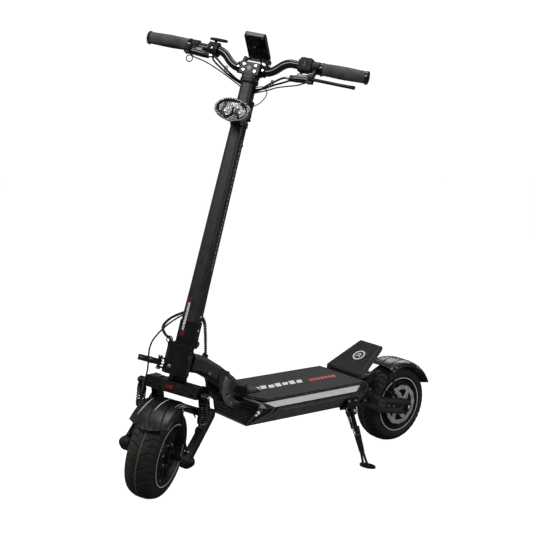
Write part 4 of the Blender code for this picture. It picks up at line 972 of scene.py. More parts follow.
def deck_side(sign, side):
    """Corner cap, lamp cluster, chevrons, dashes and screws on one side of the deck."""
    def face(facet, outline, low, high):
        return side_plate(facet, outline, low, high, sign)
    cap = face(0, [(-0.1985, 0.02), (-0.1930, 0.10), (-0.1350, 0.70), (-0.1345, 0.985), (-0.1855, 0.985)],
               -0.0004, 0.0011)
    piece(f"corner_cap_{side}", cap, "plastic", "deck", bevel=0.0005)
    upper = face(1, [(-0.1850, 0.03), (-0.1330, 0.03), (-0.1700, 0.97), (-0.1815, 0.97)], -0.0004, 0.0009)
    piece(f"corner_cap_upper_{side}", upper, "plastic", "deck", bevel=0.0004)
    wedge = face(1, [(-0.1840, 0.30), (-0.1600, 0.06), (-0.1720, 0.88), (-0.1815, 0.93)], 0.0007, 0.0015)
    piece(f"corner_wedge_{side}", wedge, "grey_print", "deck")
    lines = [face(0, [(-0.1880, 0.12), (-0.1310, 0.66), (-0.1305, 0.985), (-0.1282, 0.985),
                      (-0.1285, 0.64), (-0.1830, 0.10)], -0.0003, 0.0009),
             face(0, [(-0.1700, 0.13), (-0.1090, 0.63), (-0.1085, 0.70), (-0.1072, 0.70),
                      (-0.1075, 0.61), (-0.1660, 0.12)], -0.0003, 0.0006)]
    piece(f"chevrons_{side}", join(*lines), "grey_print", "deck")
    dark = face(0, [(-0.1805, 0.09), (-0.1255, 0.62), (-0.1250, 0.985), (-0.1130, 0.985),
                    (-0.1135, 0.61), (-0.1690, 0.09)], -0.0003, 0.0005)
    piece(f"chevron_shadow_{side}", dark, "plastic", "deck")
    lamps = {"lamp": [], "amber": []}
    for k, (y, t) in enumerate(((-0.1868, 0.90), (-0.1812, 0.80), (-0.1868, 0.70), (-0.1775, 0.92))):
        size_y, size_t = 0.0040, 0.075
        gem = [(y - size_y, t), (y, t - size_t), (y + size_y, t), (y, t + size_t)]
        tip = [(y + 0.4 * (a - y), t + 0.4 * (b - t)) for a, b in gem]
        shape = skin([[on_side(0, b, a, 0.0006, sign) for a, b in gem],
                      [on_side(0, b, a, 0.0024, sign) for a, b in gem],
                      [on_side(0, b, a, 0.0034, sign) for a, b in tip]])
        lamps["amber" if k == 3 else "lamp"].append(shape)
    piece(f"corner_lamps_{side}", join(*lamps["lamp"]), "lamp", "deck")
    piece(f"corner_amber_{side}", join(*lamps["amber"]), "amber", "deck")
    rows = []
    y = -0.086
    for k in range(30):
        long = (0.0062, 0.0042, 0.0062, 0.0030, 0.0052)[k % 5]
        if k != 14:
            rows.append(face(0, [(y, 0.665), (y + long, 0.665), (y + long + 0.0022, 0.745),
                                 (y + 0.0022, 0.745)], 0.0, 0.0004))
        y += long + 0.0038
        if y > 0.176:
            break
    piece(f"side_dashes_{side}", join(*rows), "grey_print", "deck")
    trim = face(1, [(-0.1245, -0.02), (0.2000, -0.02), (0.2000, 0.05), (-0.1245, 0.05)], -0.0002, 0.0008)
    rail = face(0, [(-0.1245, 0.93), (0.2250, 0.93), (0.2250, 1.0), (-0.1245, 1.0)], -0.0002, 0.0006)
    piece(f"side_rail_{side}", join(trim, rail), "alloy", "deck")
    end = face(1, [(0.2000, 0.04), (0.2380, 0.04), (0.2380, 0.96), (0.2130, 0.96)], -0.0003, 0.0012)
    piece(f"rear_cap_{side}", end, "satin", "deck", bevel=0.0004)
    heads = [bolt(on_side(0, 0.80, y, 0.0, sign), on_side(0, 0, 0, 1, sign) - on_side(0, 0, 0, 0, sign),
                  0.0030, 0.0018) for y in (0.2140, 0.2300)]
    heads.append(bolt(on_side(0, 0.30, -0.182, 0.0011, sign),
                      on_side(0, 0, 0, 1, sign) - on_side(0, 0, 0, 0, sign), 0.0026, 0.0016))
    heads += [bolt((sign * 0.1025, y, 0.2465), (0, 0, 1), 0.0024, 0.0014)
              for y in (-0.145, -0.06, 0.03, 0.12, 0.21)]
    piece(f"deck_screws_{side}", join(*heads), "black_steel", "deck")


def neck():
    covers, ribs, bolts_made = [], [], []
    for sign in (1, -1):
        outline = []
        for i in range(25):
            angle = math.radians(146 + 120 * i / 24)
            outline.append((-0.190 + 0.0745 * math.cos(angle), 0.277 + 0.0640 * math.sin(angle)))
        for i in range(25):
            angle = math.radians(258 - 100 * i / 24)
            outline.append((-0.176 + 0.0630 * math.cos(angle), 0.281 + 0.0520 * math.sin(angle)))
        hole = circle((-0.2440, 0.2600), 0.0042, 20)
        plate = perforated([outline, hole], 0.0024, 0.0006)
        covers.append(across(plate, sign * 0.0372))
        for k in range(6):
            y = -0.2170 + 0.0075 * k
            ribs.append(prism([(y, 0.2505), (y + 0.0028, 0.2505), (y + 0.0085, 0.2790), (y + 0.0057, 0.2790)],
                              "x", sign * 0.0335 - 0.0015, sign * 0.0335 + 0.0015))
        bolts_made += [bolt((sign * 0.0384, y, z), (sign, 0, 0), 0.0036, 0.0024)
                       for y, z in ((-0.2530, 0.2850), (-0.2290, 0.2320))]
        bolts_made.append(bolt((sign * 0.0305, -0.3050, 0.3270), (sign, 0, 0), 0.0048, 0.0030))
    piece("gusset_covers", join(*covers), "edge", "deck")
    piece("gusset_ribs", join(*ribs), "plastic", "deck")
    piece("neck_bolts", join(*bolts_made), "steel", "deck")
    end = skin([[(x, y, z) for x, z in ((0.0318, 0.2470), (0.0318, zt - 0.004), (0.0275, zt),
                                        (-0.0275, zt), (-0.0318, zt - 0.004), (-0.0318, 0.2470))]
                for y, zt in ((-0.192, 0.2780), (-0.176, 0.2730), (-0.160, 0.2600))])
    piece("neck_toe", end, "plastic", "deck", bevel=0.0012)
    tongue = box((-0.0322, -0.162, 0.2500), (0.0322, -0.1215, 0.2578))
    piece("neck_tongue_pad", tongue, "mat", "deck", bevel=0.0020)
    rings = [hoop(band(z, z + 0.0030, 0.0262, 0.0274), "z", steps=64) for z in (0.2080, 0.2690)]
    piece("head_rings", join(*rings), "alloy", "deck", place=STRAIGHT, bevel=0.0005)
    grommet = turned(((-0.004, 0.0085), (0.001, 0.0095), (0.004, 0.0080), (0.005, 0.0062)), "z", steps=28)
    loom_foot = STRAIGHT.inverted() @ (STEERED @ Vector((0.0328, 0.0827, 0.2660)))
    piece("neck_grommet", placed(grommet, loom_foot, (0, 0.45, 1)), "rubber", "deck", place=STRAIGHT)


def kickplate():
    slope = Vector((0, 0.084, 0.0532)).normalized()
    up = Vector((0, -slope.z, slope.y))
    middle = Vector((0.0026, 0.301, 0.2998))

    def on_top(u, v, lift):
        return middle + Vector((u, 0, 0)) + slope * v + up * lift
    ring = ((0.0205, -0.001), (0.0205, 0.0008), (0.0160, 0.0008), (0.0160, -0.001))
    rings = []
    for i in range(72):
        angle = math.tau * i / 72
        rings.append([on_top(r * math.cos(angle), r * math.sin(angle), lift) for r, lift in ring])
    piece("kick_emblem_ring", skin(rings, closed=True), "white", "deck")
    chevron = []
    for shift in (-0.0055, 0.0025):
        outline = [(-0.0085, shift), (0, shift + 0.0065), (0.0085, shift), (0.0085, shift + 0.0038),
                   (0, shift + 0.0103), (-0.0085, shift + 0.0038)]
        chevron.append(skin([[on_top(u, v - 0.003, lift) for u, v in outline] for lift in (-0.0008, 0.0008)]))
    piece("kick_emblem_chevrons", join(*chevron), "white", "deck")
    edges = []
    for sign in (1, -1):
        rows = []
        for y, z_low, z_high, half in ((0.2440, 0.2500, 0.2590, 0.0778), (0.268, 0.2655, 0.2755, 0.0712),
                                       (0.352, 0.3190, 0.3290, 0.0488)):
            rows.append([(sign * (half - 0.003), y, z_low), (sign * (half + 0.0012), y, z_low),
                         (sign * (half + 0.0012), y, z_high - 0.0030),
                         (sign * (half - 0.0075), y, z_high + 0.0042), (sign * (half - 0.009), y, z_high)])
        edges.append(skin(rows))
    piece("kick_side_trim", join(*edges), "grey_side", "deck", bevel=0.0004)
    lip = skin([[(x, 0.2415, 0.2500), (x, 0.2408, 0.2520), (x, 0.2420, 0.2600), (x, 0.2432, 0.2600),
                 (x, 0.2432, 0.2500)] for x in (-0.060, 0.060)])
    piece("kick_front_lip", lip, "gloss", "deck", bevel=0.0004)
    heads = [bolt((sign * x, y, 0.2503), (0, 0, 1), 0.0042, 0.0030) for sign in (1, -1)
             for x, y in ((0.0370, 0.3100), (0.0560, 0.2860))]
    piece("kick_bolts", join(*heads), "steel", "deck")
    grooves = []
    for k in range(9):
        v = -0.033 + 0.0098 * k
        half = 0.064 - 0.0185 * (k / 8)
        spans = [(-half, half)]
        if abs(v) < 0.0235:
            edge = math.sqrt(max(0.0, 0.0235 ** 2 - v * v)) + 0.004
            spans = [(sign * edge, sign * half) for sign in (1, -1)]
        grooves += [skin([[on_top(u, v + w, lift) for w, lift in
                           ((-0.0007, -0.0004), (0.0007, -0.0004), (0.0004, 0.0004), (-0.0004, 0.0004))]
                          for u in span]) for span in spans]
    piece("kick_grip_lines", join(*grooves), "plate", "deck")


# ---------------------------------------------------------------- front end
def damper(name, top, foot, place, upper_body, lower_body, stands_for, coil_radius, wire_radius,
           turns):
    """Coil-over damper: body and collars above, shaft below, and a spring."""
    top, foot = Vector(top), Vector(foot)
    way = (foot - top).normalized()
    long = (foot - top).length
    body = join(rod(top + way * 0.006, top + way * long * 0.50, coil_radius * 0.62, 28, cap=0.001),
                rod(top + way * long * 0.14, top + way * long * 0.19, coil_radius + wire_radius * 0.6, 32,
                    cap=0.0008),
                rod(top + way * long * 0.205, top + way * long * 0.235, coil_radius * 1.0, 32, cap=0.0006))
    piece(f"{name}_body", body, "alloy", upper_body, stands_for=stands_for, place=place)
    shaft = join(rod(top + way * long * 0.40, foot - way * 0.006, coil_radius * 0.34, 24),
                 rod(foot - way * long * 0.20, foot - way * long * 0.155, coil_radius + wire_radius * 0.6, 32,
                     cap=0.0008))
    piece(f"{name}_shaft", shaft, "steel", lower_body, place=place)
    spring = coil(top + way * long * 0.245, foot - way * long * 0.205, coil_radius, wire_radius, turns)
    piece(f"{name}_coil", spring, "spring", upper_body, place=place,
          mix=(lower_body, top + way * long * 0.245, foot - way * long * 0.205), smooth=60)


def front_end():
    for name, sign in (("left", 1), ("right", -1)):
        top = (sign * 0.0925, -0.016, 0.168)
        foot = (sign * 0.0925, 0.0150, 0.0815)
        damper(f"front_damper_{name}", top, foot, STEERED, "fork_body", "front_suspension",
               (f"front_shock_{name}",), 0.0112, 0.0022, 8)
        eye = join(turned(((-0.0085, 0.0098), (-0.0078, 0.0106), (0.0078, 0.0106), (0.0085, 0.0098)), "x",
                          top), turned(((0.0080, 0.0056), (0.0115, 0.0056), (0.0120, 0.0050)), "x", top))
        piece(f"front_damper_eye_{name}", eye, "black_steel", "fork_body")
        low = turned(((-0.0080, 0.0090), (0.0080, 0.0090)), "x", foot)
        piece(f"front_damper_foot_{name}", low, "black_steel", "front_suspension", bevel=0.0008)
    edges, holes, nuts = [], [], []
    pivot, axle = (FRONT_PIVOT.y, FRONT_PIVOT.z), (FRONT_AXLE.y, FRONT_AXLE.z)
    for sign in (1, -1):
        face = sign * 0.0945
        outer = link(pivot, 0.0150, axle, 0.0165)
        inner = link((0.070, 0.094), 0.0080, (-0.006, 0.012), 0.0088)
        edges.append(across(perforated([outer, inner], 0.0022, 0.0007), face + sign * 0.0004))
        for share in (0.24, 0.40, 0.56, 0.72):
            y = pivot[0] + (axle[0] - pivot[0]) * share
            z = pivot[1] + (axle[1] - pivot[1]) * share
            holes.append(turned(((face - sign * 0.0004, 0.0030), (face + sign * 0.0009, 0.0030),
                                 (face + sign * 0.0009, 0.0020), (face + sign * 0.0002, 0.0018)), "x",
                                (0, y, z)))
        nuts.append(bolt((sign * 0.0950, *pivot), (sign, 0, 0), 0.0085, 0.0040))
        nuts.append(nut((sign * 0.1080, *axle), (sign, 0, 0), 0.0080, 0.0030))
        nuts.append(bolt((sign * 0.1040, -0.016, 0.168), (sign, 0, 0), 0.0062, 0.0026))
    # The arm rims take the lighter copy of the cast colour, a painted highlight.
    piece("front_arm_frames", join(*edges), "cast_painted_highlight", "front_suspension")
    piece("front_arm_rivets", join(*holes), "black_steel", "front_suspension")
    piece("front_arm_nuts", join(*nuts[0::3], *nuts[1::3]), "black_steel", "front_suspension")
    piece("front_damper_bolts", join(*nuts[2::3]), "steel", "fork_body")
    caps = [turned([(sign * a, r) for a, r in ((0.0948, 0.0190), (0.0990, 0.0190), (0.1010, 0.0170))], "x",
                   FRONT_AXLE) for sign in (1, -1)]
    piece("front_arm_caps", join(*caps), "plastic", "front_suspension")
    caliper("front_caliper", STEERED, "front_suspension", Vector((0, 0.030, 0.022)), -1)

    mark = prism(rounded(0.0115, 0.0055, 0.0012, (-0.004, 0.1735)), "y", -0.0422, -0.0395)
    piece("crown_reflector", mark, "dark_red", "fork_body", bevel=0.0005)
    crown = [bolt((sign * x, -0.0395, z), (0, -1, 0), 0.0042, 0.0032) for sign in (1, -1)
             for x, z in ((0.0300, 0.166), (0.0620, 0.170))]
    crown += [bolt((sign * 0.045, 0.006, 0.1880), (0, 0, 1), 0.0046, 0.0034) for sign in (1, -1)]
    piece("crown_bolts", join(*crown), "black_steel", "fork_body")
    pad = ((-0.030, 0.188), (0.020, 0.188), (0.010, 0.1915), (-0.020, 0.1915))
    pads = [prism(pad, "x", sign * 0.058 - 0.014, sign * 0.058 + 0.014) for sign in (1, -1)]
    piece("crown_pads", join(*pads), "cast", "fork_body", bevel=0.0008)
    stack = [hoop(band(z, z + h, 0.0155, r), "z", steps=56)
             for z, h, r in ((0.1936, 0.0016, 0.0268), (0.2846, 0.0006, 0.0262))]
    piece("head_spacers", join(*stack), "alloy", "fork_body")

    apron = [(-0.026, -0.047), (-0.016, -0.0585), (0.014, -0.0585), (0.026, -0.0460)]
    lines = [prism([(x, y - w) for x, y in apron] + [(x, y + 0.001) for x, y in apron[::-1]], "z", z,
                   z + 0.0018) for z, w in ((0.2185, 0.0052), (0.2235, 0.0052), (0.2750, 0.0052))]
    piece("apron_lines", join(*lines), "alloy", "fork_body", bevel=0.0003)
    dot = bolt((-0.010, -0.0620, 0.2285), (0, -1, 0), 0.0060, 0.0016, socket=False)
    piece("apron_button", dot, "edge", "fork_body")
    ring = hoop(circle((0, 0.0085), 0.0016, 8), "y", (-0.0290, -0.0540, 0.2985), 32)
    stalk = rod((-0.0270, -0.0540, 0.2800), (-0.0290, -0.0540, 0.2905), 0.0030, 16)
    piece("cable_eye", join(ring, stalk), "black_steel", "fork_body")
    x, y, z = LEVER_AT
    hinge = [nut((x, y, z + 0.0143), (0, 0, 1), 0.0068, 0.0045),
             nut((x, y, z - 0.0150), (0, 0, -1), 0.0068, 0.0045),
             rod((x + 0.0110, y - 0.006, z), (x + 0.0185, y - 0.006, z), 0.0046, 20)]
    piece("lever_nuts", join(*hinge), "chrome", "fork_body", bevel=0.0004)
    side = [bolt((sign * 0.0218, 0.034, 0.295), (sign, 0, 0), 0.0072, 0.0028) for sign in (1, -1)]
    side += [bolt((0.0300, -0.040, 0.262), (0.9, -0.4, 0), 0.0040, 0.0026)]
    piece("hinge_bolts", join(*side), "steel", "fork_body")
    handle = swept(smooth_path([(x, y, z), (x - 0.0215, y - 0.0045, z), (x - 0.0435, y - 0.0080, z),
                                (x - 0.0540, y - 0.0100, z)], 0.002),
                   lambda t: 0.0060 + 0.0032 * step(abs(t - 0.42), 0.12, 0.06), 20)
    piece("lever_handle", handle, "gloss", "fold_clamp")
    cap = rod((x - 0.0520, y - 0.0097, z), (x - 0.0570, y - 0.0105, z), 0.0052, 20, cap=0.0012)
    piece("lever_tip", cap, "rubber", "fold_clamp")


def caliper(name, place, body, centre, side):
    """Piston caps and bolts on a brake caliper."""
    face = side * 0.0525
    caps = join(turned(((face, 0.0105), (face + side * 0.0030, 0.0105), (face + side * 0.0038, 0.0092)), "x",
                       centre),
                turned(((face + side * 0.0036, 0.0058), (face + side * 0.0046, 0.0058)), "x", centre, 6))
    piece(f"{name}_piston_cap", caps, "alloy", body, place=place)
    bolts_made = [bolt(centre + Vector((face - centre.x, 0.0, dz)), (side, 0, 0), 0.0034, 0.0028)
                  for dz in (0.0180, -0.0180)]
    piece(f"{name}_bolts", join(*bolts_made), "steel", body, place=place)


# ---------------------------------------------------------------- stem
def stem_slope(z):
    """Half sizes of the stem tube at a height."""
    table = ((0.3558, 0.0230, 0.0250), (0.45, 0.0215, 0.0235), (0.80, 0.0195, 0.0205),
             (1.030, 0.0180, 0.0190))
    for (za, xa, ya), (zb, xb, yb) in zip(table, table[1:]):
        if z <= zb:
            share = (z - za) / (zb - za)
            return xa + (xb - xa) * share, ya + (yb - ya) * share
    return table[-1][1:]


def stem():
    rows = []
    for z in (0.328, 0.3552, 0.3562, 0.405):
        y = -(0.0270 if z < 0.3555 else stem_slope(z)[1]) - 0.0006
        rows.append([(-0.0125, y + 0.0012, z), (-0.0060, y + 0.0012, z), (-0.0060, y, z), (-0.0125, y, z)])
    piece("stem_reflector", skin(rows), "reflector", "stem", bevel=0.0003)
    reds = []
    for z, y in ((0.4125, -stem_slope(0.412)[1]), (0.3195, -0.0270)):
        reds.append(prism(rounded(0.0058, 0.0058, 0.001, (-0.0092, z)), "y", y - 0.0009, y + 0.001))
    piece("stem_reflector_ends", join(*reds), "dark_red", "stem")
    seams, dashes = [], []
    for sign in (1, -1):
        rows = []
        for k in range(30):
            z = 0.362 + (1.020 - 0.362) * k / 29
            x, y = stem_slope(z)
            rows.append([(sign * (x - 0.0052), y - 0.0020, z), (sign * (x + 0.0005), y - 0.0072, z),
                         (sign * (x + 0.0008), y - 0.0085, z), (sign * (x - 0.0040), y - 0.0050, z)])
        seams.append(skin(rows))
        z = 0.500
        for k in range(34):
            tall = (0.0085, 0.0060, 0.0085, 0.0045)[k % 4]
            x, y = stem_slope(z)
            outline = [(-0.0045, z), (0.0035, z + 0.0016), (0.0035, z + tall + 0.0016), (-0.0045, z + tall)]
            low, high = sorted((sign * (x - 0.0008), sign * (x + 0.0004)))
            dashes.append(prism(outline, "x", low, high))
            z += tall + 0.0046
            if z > 0.86:
                break
    piece("stem_seams", join(*seams), "edge", "stem")
    piece("stem_dashes", join(*dashes), "grey_print", "stem")
    slots, heads = [], []
    for sign in (1, -1):
        slots.append(prism(rounded(0.0085, 0.0017, 0.0016, (0.0020, 0.3725)), "x",
                           *sorted((sign * 0.0218, sign * 0.0233))))
        heads.append(bolt((sign * 0.0250, 0.000, 0.3330), (sign, 0, 0), 0.0058, 0.0030))
        heads.append(bolt((sign * 0.0250, 0.014, 0.3130), (sign, 0, 0), 0.0034, 0.0020))
    piece("stem_slots", join(*slots), "white", "stem")
    piece("stem_screws", join(*heads), "steel", "stem")
    joint = skin([[(x, y, z) for x, y in rounded(0.0236, 0.0256, 0.009)] for z in (0.3548, 0.3566)])
    piece("stem_joint_line", joint, "gloss", "stem")
    collar = skin([[(x, y, z) for x, y in rounded(0.0208 - cut, 0.0233 - cut, 0.009)]
                   for z, cut in ((1.0170, 0.0), (1.0180, -0.0004), (1.0270, -0.0004), (1.0280, 0.0))])
    piece("stem_top_collar", collar, "alloy", "stem")
    studs = [bolt((sign * 0.0130, 0.0420, z), (0, 1, 0), 0.0022, 0.0014) for sign in (1, -1)
             for z in (0.934, 0.971)]
    studs += [bolt((sign * 0.0146, 0.0370, 0.9235), (sign, 0, 0), 0.0034, 0.0020) for sign in (1, -1)]
    piece("cable_box_screws", join(*studs), "black_steel", "stem")
    tail = [(0.0, 0.0455, 0.9330), (0.0030, 0.0500, 0.9180), (0.0010, 0.0530, 0.8950),
            (-0.0030, 0.0520, 0.8700), (0.0, 0.0500, 0.8560)]
    piece("hook_cord", swept(smooth_path(tail, 0.001), 0.0011, 8), "strap", "stem_hook")


# ---------------------------------------------------------------- cockpit
def bar_line(sign):
    return [(0, 0, BAR_HEIGHT), (sign * 0.041, 0, BAR_HEIGHT), (sign * 0.047, 0, BAR_HEIGHT),
            (sign * 0.064, 0, BAR_HEIGHT + 0.009), (sign * 0.086, 0, BAR_HEIGHT + 0.028),
            (sign * 0.104, 0, GRIP_HEIGHT), (sign * 0.110, 0, GRIP_HEIGHT),
            (sign * 0.200, 0, GRIP_HEIGHT), (sign * 0.3135, 0, GRIP_HEIGHT)]


def cockpit():
    bar = swept(smooth_path(bar_line(-1)[::-1] + bar_line(1)[1:], 0.004), BAR_RADIUS, 40)
    piece("bar_tube", bar, "bar", "stem", stands_for=("handlebar",), smooth=60)
    grips()
    clamp()
    screen()
    for name, sign, drop in (("left", 1, 0.040), ("right", -1, 0.020)):
        brake(name, sign, drop)
    pod()
    throttle()
    lamp()


def grips():
    for name, sign in (("left", 1), ("right", -1)):
        centre = (0, 0, GRIP_HEIGHT)
        sleeve = [(0.1965, 0.0160)]
        for k in range(22):
            at = 0.1985 + 0.0051 * k
            waist = 0.0158 + 0.0014 * math.sin(math.pi * (at - 0.19) / 0.12) ** 2
            sleeve += [(at, waist), (at + 0.0008, waist + 0.0007), (at + 0.0034, waist + 0.0007),
                       (at + 0.0042, waist)]
        sleeve += [(0.3125, 0.0164), (0.3125, BAR_RADIUS + 0.0004), (0.1965, BAR_RADIUS + 0.0004)]
        piece(f"grip_sleeve_{name}", hoop([(sign * a, r) for a, r in sleeve], "x", centre, 56), "grip",
              "stem", stands_for=(f"grip_{name}",))
        rings = [hoop([(sign * a, r) for a, r in ((low, 0.0125), (low, 0.0172), (low + 0.0010, 0.0181),
                                                  (high - 0.0010, 0.0181), (high, 0.0172), (high, 0.0125))],
                      "x", centre, 48) for low, high in ((0.1880, 0.1962), (0.3120, 0.3190))]
        piece(f"grip_locks_{name}", join(*rings), "gloss", "stem")
        plug = turned([(sign * a, r) for a, r in ((0.3150, 0.0140), (0.3195, 0.0140), (0.3203, 0.0120))], "x",
                      centre)
        piece(f"grip_plug_{name}", plug, "plastic", "stem")
        heads = [bolt((sign * 0.1921, 0.0, GRIP_HEIGHT - 0.0180), (0, 0, -1), 0.0028, 0.0018),
                 bolt((sign * 0.3155, 0.0, GRIP_HEIGHT - 0.0180), (0, 0, -1), 0.0028, 0.0018)]
        piece(f"grip_screws_{name}", join(*heads), "steel", "stem")


def clamp():
    heads = [bolt((x, -0.0240, z), (0, -1, 0), 0.0046, 0.0034) for x in (-0.0165, 0.0165)
             for z in (1.0480, 1.0635)]
    piece("clamp_bolts", join(*heads), "chrome", "stem")
    hole = turned(((-0.0238, 0.0060), (-0.0246, 0.0060)), "y", (-0.001, 0, 1.0555), 32)
    piece("clamp_hole", hole, "gloss", "stem")
    split = box((-0.0278, -0.0180, 1.0549), (0.0278, -0.0172, 1.0561))
    piece("clamp_split", split, "plastic", "stem")


DISPLAY = STEERED @ Matrix.Translation((0, -0.003, 1.1135)) @ Matrix.Rotation(math.radians(-29), 4, "X")


def screen():
    """Glass with a plain gauge towards the rider, ribs and a knurled boss behind."""
    glass = prism(rounded(0.0268, 0.0330, 0.004, (0, 0.0110)), "z", 0.0118, 0.0130)
    piece("screen_glass", glass, "screen", "stem", place=DISPLAY, bevel=0.0003)
    arcs = []
    for k in range(21):
        angle = math.radians(210 - 12 * k)
        size = 0.0016 if k % 5 else 0.0030
        inner, outer = 0.0175 - size, 0.0175
        wide = 0.020
        arcs.append(prism([(r * math.cos(angle + t), 0.012 + r * math.sin(angle + t))
                           for r, t in ((inner, -wide), (outer, -wide), (outer, wide), (inner, wide))],
                          "z", 0.0129, 0.0132))
    arcs.append(prism(rounded(0.0040, 0.0060, 0.0010, (0, 0.0110)), "z", 0.0129, 0.0132))
    for k in range(5):
        arcs.append(prism([(-0.0150 + 0.0062 * k, -0.0135), (-0.0104 + 0.0062 * k, -0.0135),
                           (-0.0104 + 0.0062 * k, -0.0105), (-0.0150 + 0.0062 * k, -0.0105)], "z",
                          0.0129, 0.0132))
    piece("screen_gauge", join(*arcs), "grey_print", "stem", place=DISPLAY)
    keys = [prism(rounded(0.0040, 0.0024, 0.0012, (x, -0.0385)), "z", 0.0122, 0.0137)
            for x in (-0.014, 0, 0.014)]
    piece("screen_keys", join(*keys), "plastic", "stem", place=DISPLAY, bevel=0.0005)
    ribs = [box((-0.024, y, -0.0010), (0.024, y + 0.0016, 0.0004))
            for y in [0.004 + 0.0046 * k for k in range(9)]]
    ribs += [box((sign * 0.0275 - 0.0010, -0.016, -0.0012), (sign * 0.0275 + 0.0010, 0.046, 0.0004))
             for sign in (1, -1)]
    piece("screen_back_ribs", join(*ribs), "plastic", "stem", place=DISPLAY, bevel=0.0003)
    rims = circle((0, -0.0155), 0.0115, 48), circle((0, -0.0155), 0.0121, 48)
    profile = [rims[i % 2][i] for i in range(48)]
    boss = join(prism(profile, "z", -0.0080, 0.0004),
                prism(circle((0, -0.0155), 0.0070), "z", -0.0100, -0.0075))
    piece("screen_boss", boss, "alloy", "stem", place=DISPLAY, bevel=0.0003)
    heads = [bolt((x, y, -0.0002), (0, 0, -1), 0.0022, 0.0014) for x in (-0.0235, 0.0235)
             for y in (-0.0430, 0.0430)]
    heads += [bolt((0, -0.0155, -0.0100), (0, 0, -1), 0.0040, 0.0018)]
    piece("screen_screws", join(*heads), "steel", "stem", place=DISPLAY)
    legs = [bolt((sign * 0.0392, 0.0165, 1.0760), (sign, 0, 0), 0.0044, 0.0030) for sign in (1, -1)]
    legs += [bolt((sign * 0.0350, -0.0158, 1.0560), (0, -1, 0), 0.0032, 0.0024) for sign in (1, -1)]
    piece("bracket_bolts", join(*legs), "chrome", "stem")
    arms = [swept(smooth_path([(sign * 0.0350, 0.0135, 1.0690), (sign * 0.0300, 0.0180, 1.0810),
                               (sign * 0.0150, 0.0200, 1.0935)], 0.002), 0.0034, 14) for sign in (1, -1)]
    piece("screen_arms", join(*arms), "alloy", "stem")


def brake(name, sign, drop):
    body_z = GRIP_HEIGHT - drop
    pivot = Vector((sign * 0.178, -0.046, body_z))
    way = ((0.1800, -0.0460), (0.1960, -0.0490), (0.2250, -0.0470), (0.2620, -0.0430), (0.2960, -0.0430))
    path = smooth_path([(sign * x, y, body_z) for x, y in way], 0.002)
    rings = []
    for i, at in enumerate(path):
        ahead = path[min(i + 1, len(path) - 1)] - path[max(i - 1, 0)]
        out = Vector((-ahead.y, ahead.x, 0)).normalized()
        share = i / (len(path) - 1)
        wide = 0.0052 - 0.0014 * math.sin(math.pi * min(1.0, share * 1.15)) + 0.0012 * step(1 - share, 0.08,
                                                                                            0.03)
        tall = 0.0043
        ring = []
        for k in range(16):
            angle = math.tau * k / 16
            c, s = math.cos(angle), math.sin(angle)
            ring.append(at + out * wide * math.copysign(abs(c) ** 0.6, c)
                        + Vector((0, 0, tall * math.copysign(abs(s) ** 0.6, s))))
        rings.append(ring)
    tip = turned(((-0.0044, 0.0052), (-0.0036, 0.0062), (0.0036, 0.0062), (0.0044, 0.0052)), "z", path[-1],
                 28)
    hub = turned(((-0.0046, 0.0062), (-0.0040, 0.0068), (0.0040, 0.0068), (0.0046, 0.0062)), "z", pivot, 28)
    piece(f"lever_blade_{name}", join(skin(rings), tip, hub), "alloy", f"{name}_brake",
          stands_for=(f"brake_lever_{name}",), smooth=50)
    heads = [bolt(pivot + Vector((0, 0, 0.0136)), (0, 0, 1), 0.0046, 0.0022),
             bolt((sign * 0.175, -0.012, GRIP_HEIGHT - 0.0165), (0, -0.4, -1), 0.0032, 0.0022),
             bolt((sign * 0.169, 0.0165, GRIP_HEIGHT), (0, 1, 0), 0.0030, 0.0022)]
    piece(f"perch_bolts_{name}", join(*heads), "steel", "stem")
    start, end = Vector((sign * 0.1320, -0.0306, body_z - 0.0030)), Vector((sign * 0.1760, -0.0326,
                                                                            body_z - 0.0002))
    cap = join(rod(start, end, 0.0096, 32, cap=0.0008),
               skin([[(sign * x, y, body_z + z) for x, y in rounded(0.0175, 0.0072, 0.003, (0.1560, -0.0315))]
                     for z in (0.0040, 0.0112)]))
    piece(f"reservoir_{name}", cap, "gloss", "stem", bevel=0.0005)
    lid = [bolt((sign * x, -0.0315, body_z + 0.0112), (0, 0, 1), 0.0020, 0.0012) for x in (0.1430, 0.1690)]
    piece(f"reservoir_screws_{name}", join(*lid), "steel", "stem")
    inner = Vector((sign * 0.1180, -0.0299, body_z - 0.0041))
    banjo = join(rod(inner, inner + Vector((sign * 0.006, -0.0001, 0)), 0.0062, 6),
                 rod(inner - Vector((sign * 0.0080, 0, 0)), inner, 0.0042, 20, 0.0050))
    piece(f"hose_union_{name}", banjo, "chrome", "stem")


def pod():
    """Buttons, a rocker and a cable gland on the left control pod."""
    z = GRIP_HEIGHT
    lid = prism(rounded(0.0130, 0.0095, 0.003, (0.1460, 0.0020)), "z", z + 0.0205, z + 0.0222)
    piece("pod_lid", lid, "gloss", "stem", bevel=0.0005)
    keys = [prism(rounded(0.0045, 0.0030, 0.0012, (x, 0.0020)), "z", z + 0.0220, z + 0.0240)
            for x in (0.1385, 0.1535)]
    keys.append(turned(((0.0180, 0.0040), (0.0200, 0.0040), (0.0205, 0.0034)), "y", (0.1340, 0, z + 0.0100),
                       28))
    piece("pod_keys", join(*keys), "plastic", "stem", bevel=0.0004)
    rocker = prism(rounded(0.0058, 0.0034, 0.0014, (0.1460, z - 0.0085)), "y", 0.0155, 0.0190)
    piece("pod_rocker", rocker, "grey_side", "stem", bevel=0.0006)
    gland = rod((0.1420, -0.0060, z - 0.0165), (0.1380, -0.0100, z - 0.0260), 0.0042, 20, 0.0030)
    piece("pod_gland", gland, "rubber", "stem")
    seam = prism(rounded(0.0190, 0.0170, 0.006, (0, z - 0.001)), "x", 0.1455, 0.1463)
    piece("pod_seam", seam, "gloss", "stem")


